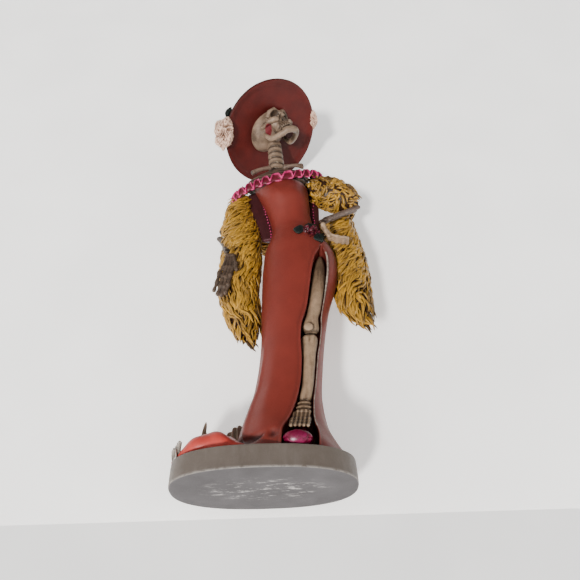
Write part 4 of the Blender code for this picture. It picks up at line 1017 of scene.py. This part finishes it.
def make_hat():
    """Felt hat, the whole profile turned round its axis, with a slightly waved brim; its tone
    carries painted shade and a painted shadow.
    """
    rows = []
    for r, z in smooth_rows(hat_profile(), 5):
        r = max(r, 0.02)
        row = []
        for a in turns(200):
            brim = ease(CROWN_RADIUS, BRIM_RADIUS, r)
            wave = brim * (0.5 * sin(2 * a + 0.6) + 0.4 * sin(3 * a + 2.0))
            rim = exp(-((r - BRIM_RADIUS) / 0.45) ** 2)
            # painted shade under the crown round the skull and on one side of the brim, and a
            # painted shadow on the brim beside the skull
            under = ease(CROWN_RADIUS + 3, CROWN_RADIUS - 6, r) * (z < 6)
            shade = 0.28 * (0.5 - 0.5 * cos(a - 0.5)) * brim
            from_shadow = (r * cos(a) - 17) ** 2 + (r * sin(a) - 13) ** 2
            painted_shadow = 0.62 * exp(-from_shadow / 130) * (z < 6)
            row.append((HAT @ v(r * cos(a), r * sin(a), z + wave),
                        clamp(0.9 * rim + 0.3 * under + shade + painted_shadow)))
        rows.append(row)
    piece("hat_felt", Shape().woven(rows), SHADED_HAT_RED, "hat", rise=bumps(0.10, 7))


def make_hat_band():
    """Gathered ribbon round the foot of the crown."""
    r = CROWN_RADIUS
    section = [(r + 0.4, 5.6), (r + 1.5, 5.8), (r + 1.8, 7.6), (r + 1.4, 10.0), (r + 0.2, 10.2)]
    rings = []
    for a in turns(360):
        pleat = 0.18 * sin(38 * a) + 0.1 * sin(61 * a + 1)
        rings.append([HAT @ v((x + pleat) * cos(a), (x + pleat) * sin(a), z) for x, z in section])
    piece("hat_ribbon", Shape().skin(rings, loop=True), MAROON, "hat_band")


# ---------------------------------------------------------------- flowers and leaves
def petal(shape, root, out, up, length, curl, rng):
    """Cupped petal with a ruffled free edge; out is its length, up is its inner face."""
    side = out.cross(up).normalized()
    width, thick = length * 0.52, 0.05
    rows, cols = 7, 10
    phase, ruffle = rng.uniform(0, 6), rng.uniform(0.25, 0.5)
    top, low, tones = [], [], []
    for i in range(rows + 1):
        t = i / rows
        spread = width * sin(pi * (0.12 + 0.80 * t) * 0.62) * (1 - 0.35 * max(0, t - 0.8) * 5 * 0.4)
        line, tone = [], []
        for j in range(cols + 1):
            s = 2 * j / cols - 1
            cup = (s * s * 0.35 - 0.1) * width * (1 - 0.4 * t)
            lift = curl * t * t * length + cup + ruffle * t * t * sin(5 * s + phase)
            line.append(root + out * length * (t - 0.22 * s * s * t) + side * spread * s
                        + up * lift)
            tone.append(clamp(0.75 * (1 - t) ** 1.3 + 0.15 * abs(s)))
        top.append(line)
        low.append([p - up * thick * (1 - 0.5 * t) for p in line])
        tones.append(tone)
    shape.skin([a + b[::-1] for a, b in zip(top, low)],
               [tone + [min(1, x + 0.25) for x in tone[::-1]] for tone in tones])


def blossom(centre, axis, radii, layers, seed):
    """Rosette of cupped petals round axis, squeezed to the given radii in a frame of its own."""
    rng = random.Random(seed)
    shape = Shape()
    for count, reach, tilt, curl in layers:
        for k in range(count):
            a = 2 * pi * (k + rng.uniform(-0.15, 0.15)) / count + tilt * 3
            flat = v(cos(a), sin(a), 0)
            out = (flat * cos(tilt) + v(0, 0, sin(tilt))).normalized()
            up = (v(0, 0, cos(tilt)) - flat * sin(tilt)).normalized()
            petal(shape, flat * 0.06 + v(0, 0, -0.25), out, up, reach, curl, rng)
    turn = axis.to_track_quat("Z", "Y").to_matrix().to_4x4()
    shape.points = [centre + turn @ v(p.x * radii.x, p.y * radii.y, p.z * radii.z)
                    for p in shape.points]
    return shape


def ruffled_ball(radii, seed, ripple):
    """Ball whose surface is gathered into tight wandering ruffles, dark between them and darker to
    one side as painted shade.
    """
    shape = Shape().ball(v(0, 0, 0), v(1, 1, 1), segments=150, rings=100)
    shift = v(seed * 7.3, seed * 3.1, seed * 5.7)
    for i, p in enumerate(shape.points):
        warped = p * 1.9 + noise.noise_vector(p * 1.4 + shift) * 1.1
        fold = 1 - 2.4 * abs(noise.noise(warped * 1.5 + shift))
        fine = 1 - 2.2 * abs(noise.noise(warped * 3.6 - shift))
        crest = clamp(0.65 * fold + 0.35 * fine, -0.6, 1)
        bulge = 1.05 + 0.42 * noise.noise(p * 1.25 + shift)
        shape.points[i] = v(*(a * b for a, b in zip(p * (bulge + ripple * (crest - 0.6)), radii)))
        # tone: dark between the ruffles, plus painted shade darkening one side
        shape.tones[i] = clamp(0.85 - 1.1 * crest + 0.35 * (p.x + p.y) * 0.5)
    return shape


def make_hat_flowers():
    """Dense white ruffled flowers at the brim's edge, with dark leaves beside them."""
    flowers = (("right", v(-41.6, -14.6, 0.4), v(6.6, 11.2, 6.8), 199, 3),
               ("left", v(42.0, 6.0, 1.2), v(3.8, 6.8, 3.8), 8, 5))
    for side, centre, radii, turn, seed in flowers:
        shape = ruffled_ball(radii, seed, 0.34)
        shape.move(HAT @ Matrix.Translation(centre) @ Matrix.Rotation(radians(turn), 4, "Z"))
        piece("hat_blossom_" + side, shape, WHITE, "hat_flower_" + side)
    leaves = (("hat_leaf_1", v(-35.5, -25.6, 2.2), v(-29.5, -32.2, 2.4), 2.6),
              ("hat_leaf_2", v(-38.4, -3.0, 2.6), v(-37.6, 7.5, 2.6), 2.6),
              ("hat_leaf_3", v(38.6, 13.6, 2.4), v(32, 24, 2.6), 2.4))
    for node, root, tip, wide in leaves:
        leaf(node, HAT @ root, HAT @ tip, wide, HAT.to_3x3() @ v(0, 0, 1))


def leaf(node, root, tip, wide, normal, thick=0.5):
    """Pointed leaf with a sunk midrib, slanting veins and a toothed edge."""
    along = tip - root
    length = along.length
    ahead = along.normalized()
    across = ahead.cross(normal).normalized()
    rows, cols = 40, 16
    rings, tones = [], []
    for i in range(rows + 1):
        t = i / rows
        w = wide * (sin(pi * t ** 0.75) ** 0.8 * (1 + 0.05 * sin(40 * t)) + 0.04)
        top, low, tone = [], [], []
        for j in range(cols + 1):
            s = 2 * j / cols - 1
            vein = 0.14 * sin((t * length - abs(s) * w * 0.8) * 4.2)
            arch = 0.9 * sin(pi * t) - 0.35 * wide * 0.4 * s * s
            rise = arch + (vein - 0.3 * exp(-(s / 0.12) ** 2)) * (1 - abs(s)) * 1.2
            p = root + ahead * length * t + across * w * s + normal * rise
            top.append(p + normal * thick * 0.5)
            low.append(p - normal * thick * 0.5)
            tone.append(clamp(0.5 * exp(-(s / 0.12) ** 2) - vein * 2))
        rings.append(top + low[::-1])
        tones.append(tone + tone[::-1])
    piece(node + "_blade", Shape().skin(rings, tones), LEAF, node)


def make_rose():
    centre = v(33.4, 0, 174.6)
    centre.y = gown_y(centre.x, centre.z) - 0.6
    layers = ((6, 1.0, 0.25, 0.0), (5, 0.8, 0.6, 0.0), (5, 0.58, 0.95, -0.05), (4, 0.36, 1.3, -0.1))
    shape = blossom(centre, v(0.25, -1, 0), v(6.6, 6.2, 5.4), layers, 11)
    shape.ball(centre + v(0, -2.2, 0), v(1.7, 1.6, 1.7), segments=20, rings=12, tone=0.2)
    piece("rose_bloom", shape, ROSE, "hip_rose")
    spots = (((28.0, 174.6), (21.2, 176.6)), ((34.2, 178.6), (32.0, 186.4)),
             ((36.4, 172.0), (41.2, 165.8)))
    for k, ((x0, z0), (x1, z1)) in enumerate(spots):
        root = v(x0, gown_y(x0, z0, 1.4), z0)
        tip = v(x1, gown_y(x1, z1, 1.4), z1)
        leaf("rose_leaf_%d" % (k + 1), root, tip, 4.0, v(0.2, -1, 0).normalized(), 1.0)


# ---------------------------------------------------------------- feather boa
ROW_GAP, LOCK_GAP = 2.5, 1.85  # mm between rows of locks, and between the locks of a row
# for each length of boa: lock length, width, slant in degrees along it, and disorder
FLOW = {
    "boa_drape_right": (12.5, 1.05, (0, 34, 44, 44, 34, 14, -4, -12, -6, 0), 0.34),
    "boa_drape_left": (12.0, 1.05, (30, 40, 46, 46, 38, 30, 24, 16, 6), 0.34),
    "boa_sleeve_left": (7.5, 1.0, (0, 30, -40, 40, 0), 1.3),
    "boa_back": (12.0, 1.1, (0, 10, -10, 10, -10, 10, -10, 0), 0.35),
}


def strand(shape, root, ahead, out, length, width, lift, bend, rng):
    """One lock of feather, ridged along its length, that sways, curls up and ends in a point."""
    side = ahead.cross(out).normalized()
    steps = 8
    sway, roll = rng.uniform(0.9, 1.7), rng.uniform(0, 2)
    paint_tone = 0.12 + 0.75 * noise.noise(root / 6.5) + rng.uniform(-0.12, 0.18)
    rows = []
    for i in range(steps + 1):
        t = i / steps
        centre = (root + ahead * length * t + side * bend * sin(pi * sway * t)
                  + out * (lift * sin(pi * (0.12 + 0.80 * t)) - 0.75 * width))
        w = width * sin(pi * clamp(0.16 + 0.84 * t)) ** 0.7 * (1 - 0.35 * t) + 0.04
        row = []
        for g in (a + pi / 2 for a in turns(10)):
            ridge = 0.5 + 0.5 * cos(5 * (g - pi / 2) + roll * t)
            reach = w * (0.80 + 0.26 * ridge)
            row.append((centre + side * 1.25 * reach * cos(g) + out * 0.9 * reach * sin(g),
                        clamp(0.60 + paint_tone - 0.55 * sin(g) - 0.42 * ridge + 0.25 * (1 - t))))
        rows.append(row)
    shape.woven(rows)


def make_boa(name, seed):
    rows, width_way = BOA[name]
    long, wide, slants, disorder = FLOW[name]
    rng = random.Random(seed)
    side = Vector(width_way)
    body = swept(rows, 48, side, 10, -1.5)
    shape = Shape().skin(body, [0.95] * len(body))
    steps = 6
    stations = swept(rows, 96, side, steps, -1.2)
    centres = [sum(ring, v(0, 0, 0)) / len(ring) for ring in stations]
    spent = ROW_GAP
    for i in range(1, len(stations)):
        spent += (centres[i] - centres[i - 1]).length
        if spent < ROW_GAP:
            continue
        spent = 0.0
        ring, centre = stations[i], centres[i]
        ahead = (centres[min(i + 1, len(centres) - 1)] - centres[i - 1]).normalized()
        slant = radians(catmull(slants, i / steps))
        girth = sum((ring[k] - ring[k - 1]).length for k in range(len(ring)))
        count = max(5, int(girth / LOCK_GAP))
        for k in range(count):
            spot = (k + rng.uniform(-0.4, 0.4)) / count * len(ring)
            root = ring[int(spot) % len(ring)]
            out = (root - centre).normalized()
            root = root - ahead * long * 0.4 + ahead * rng.uniform(-1.4, 1.4)
            if in_gown(root, 1.0):
                continue
            swirl = disorder * (2.2 * noise.noise(root / 9.0) + 0.5 * rng.uniform(-1, 1))
            around = ahead.cross(out).normalized()
            angle = slant * (-around.x if abs(side.x) > 0.5 else 1) + swirl
            way = (ahead * cos(angle) + around * sin(angle)).normalized()
            way = (way - out * way.dot(out)).normalized()
            strand(shape, root, way, out, long * rng.uniform(0.65, 1.25),
                   wide * rng.uniform(0.7, 1.25), rng.uniform(0.8, 2.2), rng.uniform(-1.4, 1.4),
                   rng)
    piece(name + "_feathers", shape, GOLD, name)


def make_webs():
    """Dark lining between bodice and boa, with a row of small pale dots down its edge."""
    webs = {
        "lining_web_right": (1.5, [
            (-5, 3, 234, 8, 2.2), (-3.4, 3, 230, 10, 2.4), (-3, 3, 226, 10, 2.4),
            (-1.6, 3, 217, 10, 2.4), (0.6, 2.6, 206, 9, 2.4), (3, 2.4, 194, 7, 2.4),
            (4, 2.4, 184, 5, 2)]),
        "lining_web_left": (0.5, [
            (36, 5, 238, 5, 2), (37, 5, 226, 4.6, 2), (36.4, 4.6, 212, 5, 2), (37, 4, 200, 4, 2),
            (39.5, 4, 190, 2.6, 1.6)]),
    }
    for name, (shift, rows) in webs.items():
        piece(name + "_cloth", Shape().skin(swept(rows, 40, v(1, 0, 0), 10)), MAROON, name,
              rise=bumps(0.12, 3))
        dots = Shape()
        for k, (x, y, z, _, thick) in enumerate(smooth_rows(rows, 4)):
            spot = v(x + shift + 0.25 * sin(k * 2.4), y - thick - 0.1, z)
            dots.ball(spot, v(0.48, 0.35, 0.62), segments=12, rings=8, tone=0.35)
        piece(name + "_dots", dots, PINK, name)


# ---------------------------------------------------------------- plinth
def make_plinth():
    """Oval slab, cast with its face down, with a rubbed rim."""
    # share of the outline's reach, and height
    half = [(0.0, 0.0), (0.2, 0.0), (0.4, 0.0), (0.6, 0.0), (0.8, 0.0), (0.93, 0.0), (0.975, 0.05),
            (0.993, 0.25), (1.0, 0.8), (0.998, 3.0), (0.992, 6.5), (0.986, 10.0), (0.979, 12.2),
            (0.973, 12.75), (0.962, 13.0), (0.9, 13.0), (0.5, 13.0), (0.0, 13.0)]
    rings = []
    for r, z in smooth_rows(half, 6):
        r = max(r, 0.002)
        inset = BASE_DEPTH / 2 * (1 - r)
        rings.append([rim_point(a + 0.001, 0) * r if r < 0.9 else rim_point(a + 0.001, inset * 0.75)
                      for a in turns(220)])
        for p in rings[-1]:
            p.z = clamp(z, 0, BASE_HEIGHT)
    piece("plinth_slab", Shape().skin(rings), plinth_paint(), "base_plinth")


def plinth_paint():
    """Warm grey sides, a bare paler underside with chalky scuffs, dark pits and pour rings."""
    n = Nodes("plinth grey paint")
    height = n.add("SeparateXYZ", {0: n.place}).outputs["Z"]
    cloud, fine = n.noise(14, 4, 0.6), n.noise(0.9, 4, 0.7)

    def both(a, b):
        return n.maths("MULTIPLY", a, b)
    side = n.blend(n.span(cloud, 0.3, 0.7), (0.078, 0.061, 0.049), (0.105, 0.085, 0.070))
    streak = n.noise(5, 3, 0.6, (1, 1, 0.25))
    side = n.blend(n.span(streak, 0.5, 0.75, 0.0, 0.35), side, (0.145, 0.125, 0.108))
    worn = both(n.span(height, 0.0016, 0.0002), n.span(n.noise(3.0, 4, 0.7), 0.3, 0.55))
    side = n.blend(worn, side, (0.26, 0.235, 0.21))
    under = n.blend(n.span(n.noise(22, 4, 0.6), 0.35, 0.65), (0.098, 0.091, 0.092),
                    (0.130, 0.122, 0.124))
    # the scuffs fade out from the middle of the underside
    reach = n.span(n.length(n.mapped((24.0, 52.0, 0.0), (-0.004, 0.006, 0.0))), 0.95, 0.45)
    scuff = n.noise(5.0, 6, 0.75, (0.45, 1.6, 1))
    under = n.blend(both(n.span(scuff, 0.54, 0.62), reach), under, (0.50, 0.475, 0.46))
    pits = n.noise(3.2, 5, 0.75, (0.6, 1.4, 1))
    under = n.blend(both(n.span(pits, 0.60, 0.66, 0.0, 0.9), reach), under, (0.06, 0.05, 0.045))
    speck = n.noise(1.4, 3, 0.6)
    under = n.blend(n.span(speck, 0.70, 0.74, 0.0, 0.6), under, (0.10, 0.09, 0.085))
    colour = n.blend(n.span(height, 0.00015, 0.00030), under, side)
    n.link(colour, n.shader.inputs["Base Color"])
    n.link(n.span(fine, 0.25, 0.75, 0.46, 0.66), n.shader.inputs["Roughness"])
    n.bump(n.blend(both(reach, 0.7), fine, scuff), 0.35, 0.3)
    return n.mat, "plinth_grey"


# ---------------------------------------------------------------- build
for make in (make_plinth, make_gown, make_slit_trim, make_train, make_lace, make_petticoat,
             make_collar, make_chest, make_neck, make_arms, make_hands, make_leg, make_foot,
             make_shoe, make_skull, make_jaw, make_hat, make_hat_band, make_hat_flowers, make_rose):
    make()
for seed, name in enumerate(BOA):
    make_boa(name, seed + 21)
make_webs()
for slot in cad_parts["armature_rod"].material_slots:
    slot.material = STEEL


# ---------------------------------------------------------------- stage, light and camera
def one_sided(name, colour, glow):
    """Paint seen from a plane's front only; from behind the plane is clear."""
    n = Nodes(name)
    n.shader.inputs["Roughness"].default_value = 0.9
    n.shader.inputs["Emission Color"].default_value = (1, 1, 1, 1)
    n.shader.inputs["Emission Strength"].default_value = glow
    shade = tuple(c * 0.94 for c in colour)
    n.link(n.blend(n.span(n.noise(60), 0.35, 0.65), shade, colour), n.shader.inputs["Base Color"])
    clear = n.add("BsdfTransparent").outputs[0]
    join = n.add("MixShader", {0: n.add("NewGeometry").outputs["Backfacing"],
                               1: n.shader.outputs[0], 2: clear})
    n.link(join.outputs[0], n.tree.nodes["Material Output"].inputs["Surface"])
    return n.mat


def stage_plane(name, corners, mat):
    mesh = bpy.data.meshes.new(name)
    mesh.from_pydata(corners, [], [(0, 1, 2, 3)])
    mesh.materials.append(mat)
    made = bpy.data.objects.new(name, mesh)
    bpy.context.scene.collection.objects.link(made)
    made.visible_shadow = False


WALL_Y, FLOOR_Z, FAR = CAD_BOX[1][1] + 0.004, -0.0002, 4
cloth = one_sided("pale cloth", (0.93, 0.92, 0.90), 0.48)
SQUARE = ((-FAR, -FAR), (FAR, -FAR), (FAR, FAR), (-FAR, FAR))
stage_plane("backdrop", [(x, WALL_Y, z) for x, z in SQUARE], cloth)
stage_plane("floor", [(x, y, FLOOR_Z) for x, y in SQUARE], cloth)

world = bpy.data.worlds.new("studio")
world.use_nodes = True
world.node_tree.nodes["Background"].inputs["Color"].default_value = (0.98, 0.98, 1.0, 1.0)
world.node_tree.nodes["Background"].inputs["Strength"].default_value = 0.24
bpy.context.scene.world = world


def lamp(data, way, place=(0, 0, 0)):
    """Links a light that shines the given way."""
    made = bpy.data.objects.new(data.name, data)
    made.location = place
    made.rotation_euler = Vector(way).to_track_quat("-Z", "Y").to_euler()
    bpy.context.scene.collection.objects.link(made)


def area_light(name, place, size, power):
    """Disk light that looks at the figure's middle."""
    data = bpy.data.lights.new(name, "AREA")
    data.shape, data.size, data.energy = "DISK", size, power
    lamp(data, Vector((0, 0, 0.15)) - Vector(place), place)


key = bpy.data.lights.new("key", "SUN")
key.energy, key.angle, key.color = 5.0, radians(6), (1.0, 0.985, 0.96)
lamp(key, (0.27, 0.66, 0.60))
area_light("side fill", (-0.55, -0.45, 0.30), 0.45, 0.8)
area_light("rear fill", (0.10, 0.95, 0.50), 0.5, 5.0)

FOCAL_MM, SENSOR_MM = 38.607, 36.0
CAMERA_PLACE = Vector((0.0143, -0.3282, -0.1235))
CAMERA_RIGHT = Vector((0.9996, 0.0109, -0.0264))
CAMERA_UP = Vector((0.0275, -0.6206, 0.7837))
lens = bpy.data.cameras.new("photo view")
lens.lens, lens.sensor_width, lens.clip_start = FOCAL_MM, SENSOR_MM, 0.01
camera = bpy.data.objects.new("photo view", lens)
turn = Matrix((CAMERA_RIGHT, CAMERA_UP, CAMERA_RIGHT.cross(CAMERA_UP))).transposed()
camera.matrix_world = Matrix.Translation(CAMERA_PLACE) @ turn.to_4x4()
bpy.context.scene.collection.objects.link(camera)
bpy.context.scene.camera = camera
